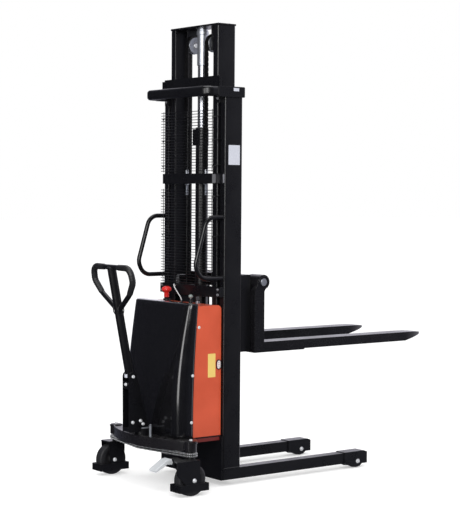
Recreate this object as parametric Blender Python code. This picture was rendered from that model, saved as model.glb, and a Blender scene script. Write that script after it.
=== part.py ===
"""Walkie stacker: straddle-leg pedestrian stacker with a two-stage mast and a steering tiller.

Metres, +Z up, +Y towards the fork tips, +X to the right of someone who faces the forks.
The design is drawn in the machine frame, whose Y = 0 is the operator-side face of the outer mast.
The whole machine is then shifted by MACHINE_Y, so the origin is on the floor under the middle of
the bounding box. Each moving body hangs from an empty on its joint's axis.
"""

import math

import bmesh
import bpy
from mathutils import Matrix, Vector

# Driving dimensions
GAP = 0.0003
MACHINE_Y = -0.43252

MAST_HALF = 0.266
RAIL_DEPTH = 0.110
RAIL_FLANGE = 0.040
RAIL_WEB = 0.008
RAIL_LIP = 0.010
RAIL_CORNER = 0.008
OUTER_TOP = 2.000
GUARD_BAR_Z = 1.9875
MESH_PITCH = 0.0432
MESH_WIRE = 0.0035

INNER_HALF = 0.205
INNER_FLANGE = 0.041
INNER_REAR = -0.003
INNER_FRONT = 0.108
INNER_BOTTOM = 0.400
INNER_TOP = 2.325

LEG_BOTTOM = 0.030
PANEL_FRONT = -0.004
LEG_TOP = 0.087
LEG_INNER = 0.2065
LEG_OUTER = 0.2665
LEG_TIP_TOP = 0.0905
TIP_CHEEK = 0.005
LOAD_WHEEL = (0.2365, 0.917, 0.036)

DECK_TOP = 0.260
DECK_ARC_RADIUS = 0.614
DECK_ARC_CENTRE = 0.245
SKIRT_BOTTOM = 0.214
STEER_CHAIN = (0.1915, 0.2065)
SPROCKET_RADIUS = 0.026

CASTER = (0.355, -0.272, 0.080)
SWIVEL = (0.335, -0.252)
CASTER_CROWN = 0.178
AXLE_RADIUS = 0.0080

BRAKE_PIVOT = (0.280, -0.345, 0.160)

BOX_HALF = 0.250
BOX_TOP = 0.918
COVER_TOP = 0.930

CYLINDER_Y = 0.051
BARREL_RADIUS = 0.0325
ROD_RADIUS = 0.0235
SLEEVE_RADIUS = 0.0275
HEAD_RADIUS = 0.0345
HEAD_BOTTOM = 1.725
HEAD_TOP = 1.810

CHAIN_X = 0.083
CHAIN_WIDTH = 0.024
CHAIN_THICK = 0.010
CHAIN_PITCH_RADIUS = 0.046
CHAIN_WHEEL = (CHAIN_X, 0.062, 2.243)
CHAIN_ANCHOR_Z = 1.600

CARRIAGE_BOTTOM = 0.673
CARRIAGE_TOP = 1.066
CARRIAGE_FACE = 0.181
ROLLER_Y = 0.0525
ROLLER_RADIUS = 0.0440
ROLLER_X = 0.181
ROLLER_LOW = 0.830
ROLLER_HIGH = 1.010
MAST_ROLLER = (0.243, 0.055, 0.450)
STUB_RADIUS = 0.0120
ROLLER_BORE = 0.0124
ROLLER_HALF = 0.0125
CHAIN_LUG_TOP = 0.9597

FORK_INNER = 0.186
FORK_WIDTH = 0.100
FORK_TOP = 0.7215
FORK_BOTTOM = 0.6735
FORK_HEEL_BOTTOM = 0.6680
FORK_HEEL_END = 0.510
FORK_NOSE = 1.245
FORK_TIP = 1.390
SHAFT = (0.2385, 1.028)
SHAFT_RADIUS = 0.020
SHANK_FRONT = 0.2437

STEER_PIVOT = (0.0, -0.312, DECK_TOP)
TILT_PIVOT = (0.0, -0.390, 0.560)
TILLER_LEAN = math.radians(11.5)
TILLER_LENGTH = 0.561
HANDLE_HALF = 0.172

STOP_BUTTON = (-0.110, -0.090)
KEY_SWITCH = (0.100, -0.045)
LIFT_LEVER = (0.090, -0.080, BOX_TOP + 0.010)

ROUND = 24

# name: colour, metallic, roughness
FINISHES = {
    "black_paint": ((0.022, 0.022, 0.025), 0.0, 0.38),
    "fork_paint": ((0.030, 0.030, 0.034), 0.0, 0.35),
    "box_paint": ((0.620, 0.115, 0.050), 0.0, 0.45),
    "cover_shell": ((0.010, 0.011, 0.014), 0.0, 0.15),
    "zinc": ((0.600, 0.610, 0.620), 1.0, 0.35),
    "chrome": ((0.780, 0.790, 0.800), 1.0, 0.08),
    "chain_steel": ((0.060, 0.060, 0.065), 0.8, 0.45),
    "roller_steel": ((0.250, 0.250, 0.260), 0.9, 0.35),
    "wheel_rubber": ((0.020, 0.020, 0.020), 0.0, 0.60),
    "load_tread": ((0.030, 0.030, 0.032), 0.0, 0.50),
    "grip_plastic": ((0.020, 0.020, 0.021), 0.0, 0.55),
    "button_red": ((0.620, 0.030, 0.035), 0.0, 0.30),
    "knob_grey": ((0.300, 0.330, 0.320), 0.0, 0.40),
    "socket_pale": ((0.700, 0.560, 0.540), 0.0, 0.50),
    "cable_grey": ((0.550, 0.550, 0.560), 0.0, 0.50),
    "hose_black": ((0.020, 0.020, 0.020), 0.0, 0.55),
    "battery_case": ((0.050, 0.052, 0.060), 0.0, 0.50),
    "pump_body": ((0.300, 0.300, 0.310), 0.6, 0.45),
}

# body: its parent, and the point in the machine frame that its empty stands on
BODIES = {
    "chassis": (None, (0.0, 0.0, 0.0)),
    "inner_mast": ("chassis", (0.0, CYLINDER_Y, INNER_BOTTOM)),
    "carriage": ("inner_mast", (0.0, ROLLER_Y, ROLLER_LOW)),
    "fork_left": ("carriage", (-FORK_INNER - FORK_WIDTH / 2, *SHAFT)),
    "fork_right": ("carriage", (FORK_INNER + FORK_WIDTH / 2, *SHAFT)),
    "chain_wheel_left": ("inner_mast", (-CHAIN_WHEEL[0], *CHAIN_WHEEL[1:])),
    "chain_wheel_right": ("inner_mast", CHAIN_WHEEL),
    "mast_roller_left": ("inner_mast", (-MAST_ROLLER[0], *MAST_ROLLER[1:])),
    "mast_roller_right": ("inner_mast", MAST_ROLLER),
    "carriage_roller_low_left": ("carriage", (-ROLLER_X, ROLLER_Y, ROLLER_LOW)),
    "carriage_roller_low_right": ("carriage", (ROLLER_X, ROLLER_Y, ROLLER_LOW)),
    "carriage_roller_high_left": ("carriage", (-ROLLER_X, ROLLER_Y, ROLLER_HIGH)),
    "carriage_roller_high_right": ("carriage", (ROLLER_X, ROLLER_Y, ROLLER_HIGH)),
    "steer_fork_left": ("chassis", (-SWIVEL[0], SWIVEL[1], CASTER_CROWN)),
    "steer_fork_right": ("chassis", (*SWIVEL, CASTER_CROWN)),
    "steer_wheel_left": ("steer_fork_left", (-CASTER[0], *CASTER[1:])),
    "steer_wheel_right": ("steer_fork_right", CASTER),
    "load_wheel_left": ("chassis", (-LOAD_WHEEL[0], *LOAD_WHEEL[1:])),
    "load_wheel_right": ("chassis", LOAD_WHEEL),
    "tiller_swivel": ("chassis", STEER_PIVOT),
    "tiller": ("tiller_swivel", TILT_PIVOT),
    "brake_pedal": ("steer_fork_right", BRAKE_PIVOT),
    "stop_button": ("chassis", (*STOP_BUTTON, BOX_TOP)),
    "key_switch": ("chassis", (*KEY_SWITCH, BOX_TOP)),
    "lift_lever": ("chassis", LIFT_LEVER),
}

MATERIALS = {}
EMPTIES = {}


# ---------------------------------------------------------------- scene set-up

def clear_scene():
    for old in list(bpy.data.objects):
        bpy.data.objects.remove(old, do_unlink=True)


def make_materials():
    for name, (colour, metallic, roughness) in FINISHES.items():
        material = bpy.data.materials.new(name)
        material.use_nodes = True
        shader = material.node_tree.nodes["Principled BSDF"]
        shader.inputs["Base Color"].default_value = (*colour, 1.0)
        shader.inputs["Metallic"].default_value = metallic
        shader.inputs["Roughness"].default_value = roughness
        MATERIALS[name] = material


def body_origin(body):
    return Vector(BODIES[body][1]) + Vector((0.0, MACHINE_Y, 0.0))


def make_empties():
    for body, (parent, _) in BODIES.items():
        empty = bpy.data.objects.new("axis_" + body, None)
        bpy.context.scene.collection.objects.link(empty)
        empty.location = body_origin(body)
        if parent:
            empty.parent = EMPTIES[parent]
            empty.location -= body_origin(parent)
        EMPTIES[body] = empty


def add_object(name, body, shape, finish=None, smooth_angle=35.0):
    """Turn a shape drawn in the machine frame into an object that hangs from its body's empty."""
    bmesh.ops.translate(shape, verts=shape.verts, vec=-Vector(BODIES[body][1]))
    mesh = bpy.data.meshes.new(name)
    shape.to_mesh(mesh)
    shape.free()
    mesh.shade_smooth()
    mesh.set_sharp_from_angle(angle=math.radians(smooth_angle))
    piece = bpy.data.objects.new(name, mesh)
    bpy.context.scene.collection.objects.link(piece)
    piece.parent = EMPTIES[body]
    if finish:
        mesh.materials.append(MATERIALS[finish])
    return piece


def combine(piece, body, shape, operation):
    """Join a shape to a piece, or cut it out of the piece, with a Boolean."""
    tool = add_object(f"{piece.name}_tool_{len(piece.modifiers)}", body, shape)
    tool.hide_render = True
    tool.display_type = "WIRE"
    boolean = piece.modifiers.new("boolean", "BOOLEAN")
    boolean.operation = operation
    boolean.object = tool


def join(piece, body, *shapes):
    for shape in shapes:
        combine(piece, body, shape, "UNION")


def cut(piece, body, *shapes):
    for shape in shapes:
        combine(piece, body, shape, "DIFFERENCE")


def soften(piece, width, segments=2, angle=40.0):
    bevel = piece.modifiers.new("bevel", "BEVEL")
    bevel.width = width
    bevel.segments = segments
    bevel.limit_method = "ANGLE"
    bevel.angle_limit = math.radians(angle)


# ---------------------------------------------------------------- shapes

def arc(centre, radius, start, end, steps):
    """Points of an arc in a plane, angles in degrees."""
    points = []
    for step in range(steps + 1):
        angle = math.radians(start + (end - start) * step / steps)
        points.append((centre[0] + radius * math.cos(angle), centre[1] + radius * math.sin(angle)))
    return points


def closed_shape(rings, cap=True):
    """A closed surface through equal rings of points."""
    shape = bmesh.new()
    loops = [[shape.verts.new(point) for point in ring] for ring in rings]
    for ring, following in zip(loops, loops[1:]):
        for index in range(len(ring)):
            after = (index + 1) % len(ring)
            shape.faces.new((ring[index], ring[after], following[after], following[index]))
    if cap:
        shape.faces.new(reversed(loops[0]))
        shape.faces.new(loops[-1])
    bmesh.ops.recalc_face_normals(shape, faces=shape.faces)
    return shape


def prism(outline, axis, low, high):
    """An outline extruded along axis 0, 1 or 2; its two coordinates are the other two axes."""
    rings = []
    for level in (low, high):
        ring = []
        for first, second in outline:
            point = [first, second]
            point.insert(axis, level)
            ring.append(point)
        rings.append(ring)
    return closed_shape(rings)


def box(x, y, z):
    outline = [(x[0], y[0]), (x[1], y[0]), (x[1], y[1]), (x[0], y[1])]
    return prism(outline, 2, *z)


def turned(profile, centre, axis, steps=ROUND):
    """A profile of (radius, height) points turned about an axis; its ends lie on the axis."""
    shape = bmesh.new()
    rings = []
    for radius, height in profile:
        ring = []
        count = steps if radius > 0.0 else 1
        for step in range(count):
            angle = 2.0 * math.pi * step / steps
            point = [radius * math.cos(angle), radius * math.sin(angle)]
            point.insert(axis, height)
            ring.append(shape.verts.new(point))
        rings.append(ring)
    for ring, following in zip(rings, rings[1:]):
        for step in range(steps):
            after = (step + 1) % steps
            corners = [ring[step % len(ring)], ring[after % len(ring)]]
            corners += [following[after % len(following)], following[step % len(following)]]
            shape.faces.new(list(dict.fromkeys(corners)))
    bmesh.ops.recalc_face_normals(shape, faces=shape.faces)
    bmesh.ops.translate(shape, verts=shape.verts, vec=Vector(centre))
    return shape


def rod(centre, axis, radius, low, high, steps=ROUND):
    """A plain round bar between two levels along its axis."""
    base = list(centre)
    base[axis] = 0.0
    return turned([(0.0, low), (radius, low), (radius, high), (0.0, high)], base, axis, steps)


def ring(half, centre, steps=16):
    """A wheel about X with a bore: half its (radius, height) section, mirrored to the other side."""
    section = half + [(radius, -height) for radius, height in reversed(half)]
    rings = []
    for step in range(steps):
        angle = 2.0 * math.pi * step / steps
        turn = Vector((0.0, math.cos(angle), math.sin(angle)))
        rings.append([Vector((height, 0.0, 0.0)) + turn * radius for radius, height in section])
    shape = looped(rings)
    bmesh.ops.translate(shape, verts=shape.verts, vec=Vector(centre))
    return shape


def looped(rings):
    """A closed surface through rings that come back to the first one."""
    shape = closed_shape(rings + [rings[0]], cap=False)
    bmesh.ops.remove_doubles(shape, verts=shape.verts, dist=1e-6)
    bmesh.ops.recalc_face_normals(shape, faces=shape.faces)
    return shape


def fillet(points, radius, steps=4):
    """Round the corners of a path, keeping its two ends."""
    path = [Vector(points[0])]
    for before, corner, after in zip(points, points[1:], points[2:]):
        corner = Vector(corner)
        back = (Vector(before) - corner).normalized()
        ahead = (Vector(after) - corner).normalized()
        half_angle = back.angle(ahead) / 2.0
        reach = radius / math.tan(half_angle)
        start = corner + back * reach
        end = corner + ahead * reach
        centre = corner + (back + ahead).normalized() * (radius / math.sin(half_angle))
        for step in range(steps + 1):
            spoke = (start - centre).slerp(end - centre, step / steps)
            path.append(centre + spoke.normalized() * radius)
    path.append(Vector(points[-1]))
    return path


def swept(path, section, upright=Vector((0.0, 0.0, 1.0))):
    """A section of (side, up) points carried along a path, with flat ends."""
    rings = []
    side = None
    for index, point in enumerate(path):
        before = path[max(index - 1, 0)]
        after = path[min(index + 1, len(path) - 1)]
        along = (Vector(after) - Vector(before)).normalized()
        if side is None:
            side = along.cross(upright).normalized()
        side = (side - along * side.dot(along)).normalized()
        up = side.cross(along)
        rings.append([Vector(point) + side * s + up * u for s, u in section])
    return closed_shape(rings)


def circle(radius, steps=12):
    return arc((0.0, 0.0), radius, 0.0, 360.0 * (steps - 1) / steps, steps - 1)


def mirrored(shape):
    """The same shape on the left side of the machine."""
    copy = shape.copy()
    bmesh.ops.transform(copy, matrix=Matrix.Scale(-1.0, 4, (1.0, 0.0, 0.0)), verts=copy.verts)
    bmesh.ops.recalc_face_normals(copy, faces=copy.faces)
    return copy


def pair(name, shape, finish, bodies=("chassis", "chassis")):
    """The right piece as drawn and its mirror image on the left."""
    left = add_object(name + "_left", bodies[0], mirrored(shape), finish)
    right = add_object(name + "_right", bodies[1], shape, finish)
    return left, right


# ---------------------------------------------------------------- mast

def channel(outer, flange, rear, front):
    """Section of a C-shaped rail that opens towards the centre plane, in (x, y)."""
    inner = outer - flange
    inside = outer - RAIL_WEB
    corner = RAIL_CORNER
    points = [(inner, rear)]
    points += arc((outer - corner, rear + corner), corner, -90, 0, 3)
    points += arc((outer - corner, front - corner), corner, 0, 90, 3)
    points += [(inner, front), (inner, front - RAIL_LIP), (inside, front - RAIL_LIP)]
    points += [(inside, rear + RAIL_LIP), (inner, rear + RAIL_LIP)]
    return points


def build_outer_mast():
    section = channel(MAST_HALF, RAIL_FLANGE, 0.0, RAIL_DEPTH)
    pair("outer_rail", prism(section, 2, LEG_TOP + GAP, OUTER_TOP), "black_paint")

    plate = add_object("outer_top_plate", "chassis",
                       box((-0.240, 0.240), (-0.018, -0.006), (2.018, 2.070)), "black_paint")
    for side in (-1, 1):
        foot_x = sorted((side * 0.212, side * 0.238))
        join(plate, "chassis", box(foot_x, (-0.0175, -GAP), (1.935, 2.019)))
    join(plate, "chassis", box((-0.262, -0.239), (-0.0178, -0.0070), (2.0185, 2.062)))

    build_cross_plates()
    build_guard_bar()


def build_cross_plates():
    hat = [(-0.262, -GAP), (-0.262, -0.012), (-0.205, -0.012), (-0.205, -0.036)]
    hat += [(-x, y) for x, y in reversed(hat)]
    hat += [(0.211, -GAP), (0.211, -0.006), (0.199, -0.006), (0.199, -0.030)]
    hat += [(-0.199, -0.030), (-0.199, -0.006), (-0.211, -0.006), (-0.211, -GAP)]
    plate = add_object("mid_cross_plate", "chassis", prism(hat, 2, 1.528, 1.580), "black_paint")
    for side in (-1, 1):
        lug_x = sorted((side * 0.066, side * 0.100))
        join(plate, "chassis", box(lug_x, (-0.032, 0.032), (1.546, 1.560)))
    for side in (-1, 1):
        hole = rod((side * CHAIN_X, 0.016, 0), 2, 0.0075, 1.540, 1.566, 16)
        cut(plate, "chassis", hole)

    bolt = [(0.0, 1.470), (0.007, 1.470), (0.007, 1.5300), (0.012, 1.5302), (0.012, 1.5455)]
    bolt += [(0.007, 1.5457), (0.007, 1.5603), (0.012, 1.5605), (0.012, 1.574), (0.009, 1.575)]
    bolt += [(0.009, CHAIN_ANCHOR_Z - GAP), (0.0, CHAIN_ANCHOR_Z - GAP)]
    pair("chain_anchor", turned(bolt, (CHAIN_X, 0.016, 0), 2, 12), "zinc")

    lower = add_object("lower_cross_plate", "chassis",
                       box((-0.236, 0.236), (-0.026, -0.014), (0.955, 1.010)), "black_paint")
    for side in (-1, 1):
        foot_x = sorted((side * 0.228, side * 0.262))
        join(lower, "chassis", box(foot_x, (-0.0255, -GAP), (0.958, 1.007)))


def build_guard_bar():
    """Bent flat-sided tube round the operator side of the mast, welded to two side plates."""
    side_x = 0.2575
    rear_y = -0.112
    corners = [(-side_x, -0.004, GUARD_BAR_Z), (-side_x, rear_y, GUARD_BAR_Z)]
    corners += [(side_x, rear_y, GUARD_BAR_Z), (side_x, -0.004, GUARD_BAR_Z)]
    section = []
    for centre, start in (((0.001, 0.010), 0), ((-0.001, 0.010), 90)):
        section += arc(centre, 0.016, start, start + 90, 3)
    for centre, start in (((-0.001, -0.010), 180), ((0.001, -0.010), 270)):
        section += arc(centre, 0.016, start, start + 90, 3)
    bar = add_object("guard_bar", "chassis", swept(fillet(corners, 0.034, 4), section),
                     "black_paint")
    for side in (-1, 1):
        plate_x = sorted((side * (MAST_HALF + GAP), side * 0.2755))
        join(bar, "chassis", box(plate_x, (-0.050, 0.116), (GUARD_BAR_Z - 0.0265, GUARD_BAR_Z + 0.0265)))


def wire_grid(wires, posts, half_width, rear, thick):
    """One welded panel: level wires with free ends, crossed by upright wires."""
    xs = [-half_width]
    for post in posts:
        xs += [post - thick / 2, post + thick / 2]
    xs.append(half_width)
    zs = []
    for wire in wires:
        zs += [wire - thick / 2, wire + thick / 2]
    shape = bmesh.new()
    corners = {}

    def corner(i, j, layer):
        key = (i, j, layer)
        if key not in corners:
            corners[key] = shape.verts.new((xs[i], rear + layer * thick, zs[j]))
        return corners[key]

    def solid(i, j):
        if not (0 <= i < len(xs) - 1 and 0 <= j < len(zs) - 1):
            return False
        return j % 2 == 0 or i % 2 == 1

    for i in range(len(xs) - 1):
        for j in range(len(zs) - 1):
            if not solid(i, j):
                continue
            for layer in (0, 1):
                shape.faces.new([corner(i + a, j + b, layer)
                                 for a, b in ((0, 0), (1, 0), (1, 1), (0, 1))])
            sides = (((-1, 0), (0, 0), (0, 1)), ((1, 0), (1, 0), (1, 1)))
            sides += (((0, -1), (0, 0), (1, 0)), ((0, 1), (0, 1), (1, 1)))
            for (di, dj), first, last in sides:
                if not solid(i + di, j + dj):
                    ends = [corner(i + a, j + b, layer)
                            for layer, (a, b) in ((0, first), (0, last), (1, last), (1, first))]
                    shape.faces.new(ends)
    bmesh.ops.recalc_face_normals(shape, faces=shape.faces)
    return shape


def build_mesh_guards():
    for name, low, count in (("mesh_guard_lower", 1.0200, 12), ("mesh_guard_upper", 1.5930, 8)):
        wires = [low + MESH_PITCH * index for index in range(count)]
        panel = wire_grid(wires, (-0.212, 0.0, 0.212), 0.230, -0.0465, MESH_WIRE)
        add_object(name, "chassis", panel, "black_paint")


def build_grab_handles():
    x = 0.2520
    route = [(x, -GAP, 1.360), (x, -0.100, 1.360), (x, -0.172, 1.120)]
    route += [(x, -0.150, 1.053), (x, -GAP, 1.053)]
    grip = swept(fillet(route, 0.040, 4), circle(0.0115, 8), Vector((1.0, 0.0, 0.0)))
    pair("grab_handle", grip, "black_paint")


def build_cylinder():
    base = 0.105
    barrel = [(0.0, base), (BARREL_RADIUS, base), (BARREL_RADIUS, HEAD_BOTTOM - GAP)]
    bore_radius = ROD_RADIUS + 0.0015
    barrel += [(bore_radius, HEAD_BOTTOM - GAP), (bore_radius, base + 0.025), (0.0, base + 0.025)]
    add_object("cylinder_barrel", "chassis", turned(barrel, (0, CYLINDER_Y, 0), 2), "black_paint")

    head = add_object("cylinder_head", "chassis",
                      rod((0, CYLINDER_Y, 0), 2, HEAD_RADIUS, HEAD_BOTTOM, HEAD_TOP), "black_paint")
    port_block = box((-0.036, 0.020), (0.017, 0.060), (HEAD_BOTTOM + 0.0005, HEAD_TOP - 0.0005))
    join(head, "chassis", port_block)
    bore = rod((0, CYLINDER_Y, 0), 2, ROD_RADIUS + 0.0004, HEAD_BOTTOM - 0.01, HEAD_TOP + 0.01)
    cut(head, "chassis", bore)

    stem = [(0.0, 0.450), (ROD_RADIUS, 0.450), (ROD_RADIUS, 2.135), (SLEEVE_RADIUS, 2.136)]
    stem += [(SLEEVE_RADIUS, INNER_TOP - 0.001 - GAP), (0.0, INNER_TOP - 0.001 - GAP)]
    add_object("lift_rod", "inner_mast", turned(stem, (0, CYLINDER_Y, 0), 2), "chrome")


def build_inner_mast():
    section = channel(INNER_HALF, INNER_FLANGE, INNER_REAR, INNER_FRONT)
    bodies = ("inner_mast", "inner_mast")
    rails = pair("inner_rail", prism(section, 2, INNER_BOTTOM, INNER_TOP), "black_paint", bodies)
    for side, rail in zip((-1, 1), rails):
        ends = sorted((side * (INNER_HALF - 0.004), side * 0.2525))
        join(rail, "inner_mast", rod((0, *MAST_ROLLER[1:]), 0, STUB_RADIUS, *ends, 12))

    top = add_object("inner_top_plate", "inner_mast",
                     box((-0.2065, 0.2065), (-0.004, 0.1095), (INNER_TOP + GAP, 2.335)),
                     "black_paint")
    for side in (-1, 1):
        hanger_x = sorted((side * 0.1025, side * 0.1110))
        hanger = box(hanger_x, (0.030, 0.094), (2.205, INNER_TOP + 0.001))
        ends = sorted((side * 0.070, side * 0.1030))
        pin = rod((0, *CHAIN_WHEEL[1:]), 0, 0.010, *ends, 12)
        join(top, "inner_mast", hanger, pin)

    rail_tip = INNER_HALF - INNER_FLANGE
    add_object("inner_lower_plate", "inner_mast",
               box((-rail_tip + GAP, rail_tip - GAP), (0.084, 0.100), (0.400, 0.470)),
               "black_paint")


def build_chain_wheels():
    x, y, z = CHAIN_WHEEL
    groove = 0.0405
    flange = groove + 0.003
    half = [(0.0104, 0.0135), (flange, 0.0135), (flange, 0.0122), (groove, 0.0122)]
    for side, label in ((-1, "left"), (1, "right")):
        name = "chain_wheel_" + label
        add_object(name, name, ring(half, (side * x, y, z), 20), "zinc")


def build_chains():
    """Straight falls of the two lift chains: rear to the outer mast, front to the carriage."""
    across = (CHAIN_X - CHAIN_WIDTH / 2, CHAIN_X + CHAIN_WIDTH / 2)
    y, z = CHAIN_WHEEL[1:]
    for name, middle, low, body in (
        ("chain_rear", y - CHAIN_PITCH_RADIUS, CHAIN_ANCHOR_Z, "chassis"),
        ("chain_front", y + CHAIN_PITCH_RADIUS, 0.960, "inner_mast"),
    ):
        depth = (middle - CHAIN_THICK / 2, middle + CHAIN_THICK / 2)
        pair(name, box(across, depth, (low, z)), "chain_steel", (body, body))


def add_roller(name, centre):
    half = [(ROLLER_BORE, ROLLER_HALF), (ROLLER_RADIUS - 0.002, ROLLER_HALF)]
    half.append((ROLLER_RADIUS, ROLLER_HALF - 0.002))
    add_object(name, name, ring(half, centre), "roller_steel")


def build_mast_rollers():
    for side, label in ((-1, "left"), (1, "right")):
        add_roller("mast_roller_" + label, (side * MAST_ROLLER[0], *MAST_ROLLER[1:]))


# ---------------------------------------------------------------- carriage and forks

def chain_lug(side):
    """Angle that hangs from the carriage's top bar and takes the end of one lift chain."""
    across = sorted((side * (CHAIN_X - 0.016), side * (CHAIN_X + 0.016)))
    low = CHAIN_LUG_TOP - 0.0147
    outline = [(0.096, low), (0.1405, low), (0.1405, 1.010), (0.120, 1.010)]
    outline += [(0.120, CHAIN_LUG_TOP), (0.096, CHAIN_LUG_TOP)]
    return prism(outline, 0, *across)


def build_carriage():
    rear_bar = 0.132
    frame = add_object("carriage_frame", "carriage",
                       box((-0.240, 0.240), (rear_bar, CARRIAGE_FACE - 0.0005), (1.000, 1.066)),
                       "black_paint")
    bottom = box((-0.240, 0.240), (rear_bar, CARRIAGE_FACE - 0.0005), (CARRIAGE_BOTTOM, 0.739))
    join(frame, "carriage", bottom)
    for side in (-1, 1):
        upright_x = sorted((side * 0.143, side * 0.155))
        outline = [(0.022, 0.785), (0.090, 0.785), (0.128, 0.700), (0.176, 0.700)]
        outline += [(0.176, 1.050), (0.022, 1.050)]
        join(frame, "carriage", prism(outline, 0, *upright_x))
        end_x = sorted((side * 0.236, side * 0.248))
        end_y = (0.118, CARRIAGE_FACE - 0.0007)
        join(frame, "carriage", box(end_x, end_y, (CARRIAGE_BOTTOM + 0.0005, CARRIAGE_TOP - 0.0005)))
        lug_x = sorted((side * 0.040, side * 0.056))
        lug = [(0.150, 1.002), (0.200, 1.002)] + arc(SHAFT, 0.032, -100, 80, 6) + [(0.150, 1.0605)]
        join(frame, "carriage", prism(lug, 0, *lug_x))
        join(frame, "carriage", chain_lug(side))
        for height in (ROLLER_LOW, ROLLER_HIGH):
            ends = sorted((side * 0.150, side * 0.194))
            join(frame, "carriage", rod((0, ROLLER_Y, height), 0, STUB_RADIUS, *ends, 12))
    cut(frame, "carriage", rod((0, *SHAFT), 0, SHAFT_RADIUS + 0.0005, -0.07, 0.07))

    shaft = [(0.0, -0.2880), (SHAFT_RADIUS - 0.002, -0.2880), (SHAFT_RADIUS, -0.2860)]
    shaft += [(radius, -height) for radius, height in reversed(shaft)]
    add_object("fork_shaft", "carriage", turned(shaft, (0, *SHAFT), 0, 20), "zinc")

    for side, label in ((-1, "left"), (1, "right")):
        for level, height in (("low", ROLLER_LOW), ("high", ROLLER_HIGH)):
            name = f"carriage_roller_{level}_{label}"
            add_roller(name, (side * ROLLER_X, ROLLER_Y, height))


def fork_shank():
    """Upright part of a fork, thicker at the heel, with an eye for the shaft."""
    heel_y = CARRIAGE_FACE + 0.0005
    outline = [(heel_y, FORK_HEEL_BOTTOM), (FORK_HEEL_END, FORK_HEEL_BOTTOM)]
    outline += [(FORK_HEEL_END + 0.006, FORK_BOTTOM + 0.001), (FORK_HEEL_END + 0.006, 0.690)]
    outline += [(0.300, 0.690), (0.300, FORK_TOP - 0.001), (SHANK_FRONT, FORK_TOP - 0.001)]
    outline.append((SHANK_FRONT, 0.980))
    outline += arc(SHAFT, 0.038, -72, 190, 10) + [(heel_y, 0.985)]
    return prism(outline, 0, FORK_INNER, FORK_INNER + FORK_WIDTH)


def fork_blade():
    """Flat-topped blade with a nose that is round in plan and ramps up from below."""
    middle = FORK_INNER + FORK_WIDTH / 2
    rings = []
    for angle in (None, 0, 25, 45, 62, 77, 88):
        turn = math.radians(angle or 0)
        run = math.sin(turn)
        y = CARRIAGE_FACE + 0.001 if angle is None else FORK_NOSE + (FORK_TIP - FORK_NOSE) * run
        half = FORK_WIDTH / 2 * math.cos(turn)
        low = FORK_BOTTOM + 0.034 * run
        high = FORK_TOP - 0.009 * run ** 3
        rings.append([(middle - half, y, low), (middle + half, y, low),
                      (middle + half, y, high), (middle - half, y, high)])
    return closed_shape(rings)


def build_forks():
    wall = 0.006
    hollow = [(CARRIAGE_FACE + wall, 0.640), (1.230, 0.640), (1.230, FORK_TOP - wall)]
    hollow += [(SHANK_FRONT - wall, FORK_TOP - wall), (SHANK_FRONT - wall, 0.960)]
    hollow.append((CARRIAGE_FACE + wall, 0.960))
    inside = prism(hollow, 0, FORK_INNER + wall, FORK_INNER + FORK_WIDTH - wall)
    blade = fork_blade()
    forks = pair("fork", fork_shank(), "fork_paint", ("fork_left", "fork_right"))
    for fork, space, steel in zip(forks, (mirrored(inside), inside), (mirrored(blade), blade)):
        side = -1 if fork.name == "fork_left" else 1
        reach = sorted((side * 0.17, side * 0.30))
        join(fork, fork.name, steel)
        cut(fork, fork.name, rod((0, *SHAFT), 0, SHAFT_RADIUS + 0.0005, *reach, 20))
        cut(fork, fork.name, space)


# ---------------------------------------------------------------- chassis

def leg_tip():
    """Housing round the end of a leg, with cheeks that reach down beside the load wheel."""
    outline = [(0.816, 0.031), (0.868, 0.008), (0.900, 0.004), (0.925, 0.008), (0.942, 0.021)]
    outline += [(0.979, 0.021), (0.979, 0.082), (0.955, LEG_TIP_TOP), (0.816, LEG_TIP_TOP)]
    return prism(outline, 0, LEG_INNER - TIP_CHEEK, LEG_OUTER + TIP_CHEEK)


def build_legs():
    wall = 0.006
    x, y, _ = LOAD_WHEEL
    shape = box((LEG_INNER, LEG_OUTER), (0.0, 0.960), (LEG_BOTTOM, LEG_TOP))
    housing = leg_tip()
    legs = pair("leg", shape, "black_paint")
    for side, leg, tip in zip((-1, 1), legs, (mirrored(housing), housing)):
        join(leg, "chassis", tip)
        inner_x = sorted((side * LEG_INNER, side * LEG_OUTER))
        cut(leg, "chassis", box(inner_x, (0.800, 0.990), (0.0, LEG_BOTTOM)))
        across = sorted((side * (x - 0.0225), side * (x + 0.0225)))
        cut(leg, "chassis", box(across, (y - 0.041, y + 0.041), (0.010, LEG_TOP - 0.008)))
        hollow_x = sorted((side * (LEG_INNER + wall), side * (LEG_OUTER - wall)))
        cut(leg, "chassis", box(hollow_x, (0.120, y - 0.050), (0.010, LEG_TOP - wall)))

    half = [(0.0, 0.0220), (0.009, 0.0215), (0.033, 0.0200), (LOAD_WHEEL[2], 0.0170)]
    profile = half + [(radius, -height) for radius, height in reversed(half)]
    for side, label in ((-1, "left"), (1, "right")):
        name = "load_wheel_" + label
        wheel = turned(profile, (side * x, *LOAD_WHEEL[1:]), 0, 20)
        add_object(name, name, wheel, "load_tread")


def build_chassis_panel():
    """Plate across the foot of the mast with a hollow sill, open below, between the rails."""
    panel = add_object("chassis_panel", "chassis",
                       box((-MAST_HALF, MAST_HALF), (-0.011, PANEL_FRONT), (LEG_BOTTOM, 0.2535)),
                       "black_paint")
    sill = LEG_INNER - GAP
    wall = 0.008
    join(panel, "chassis", box((-sill, sill), (-0.007, RAIL_DEPTH), (LEG_BOTTOM + 0.0005, 0.1045)))
    inside = box((wall - sill, sill - wall), (wall, RAIL_DEPTH - wall), (0.0, 0.1045 - wall))
    cut(panel, "chassis", inside)


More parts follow.
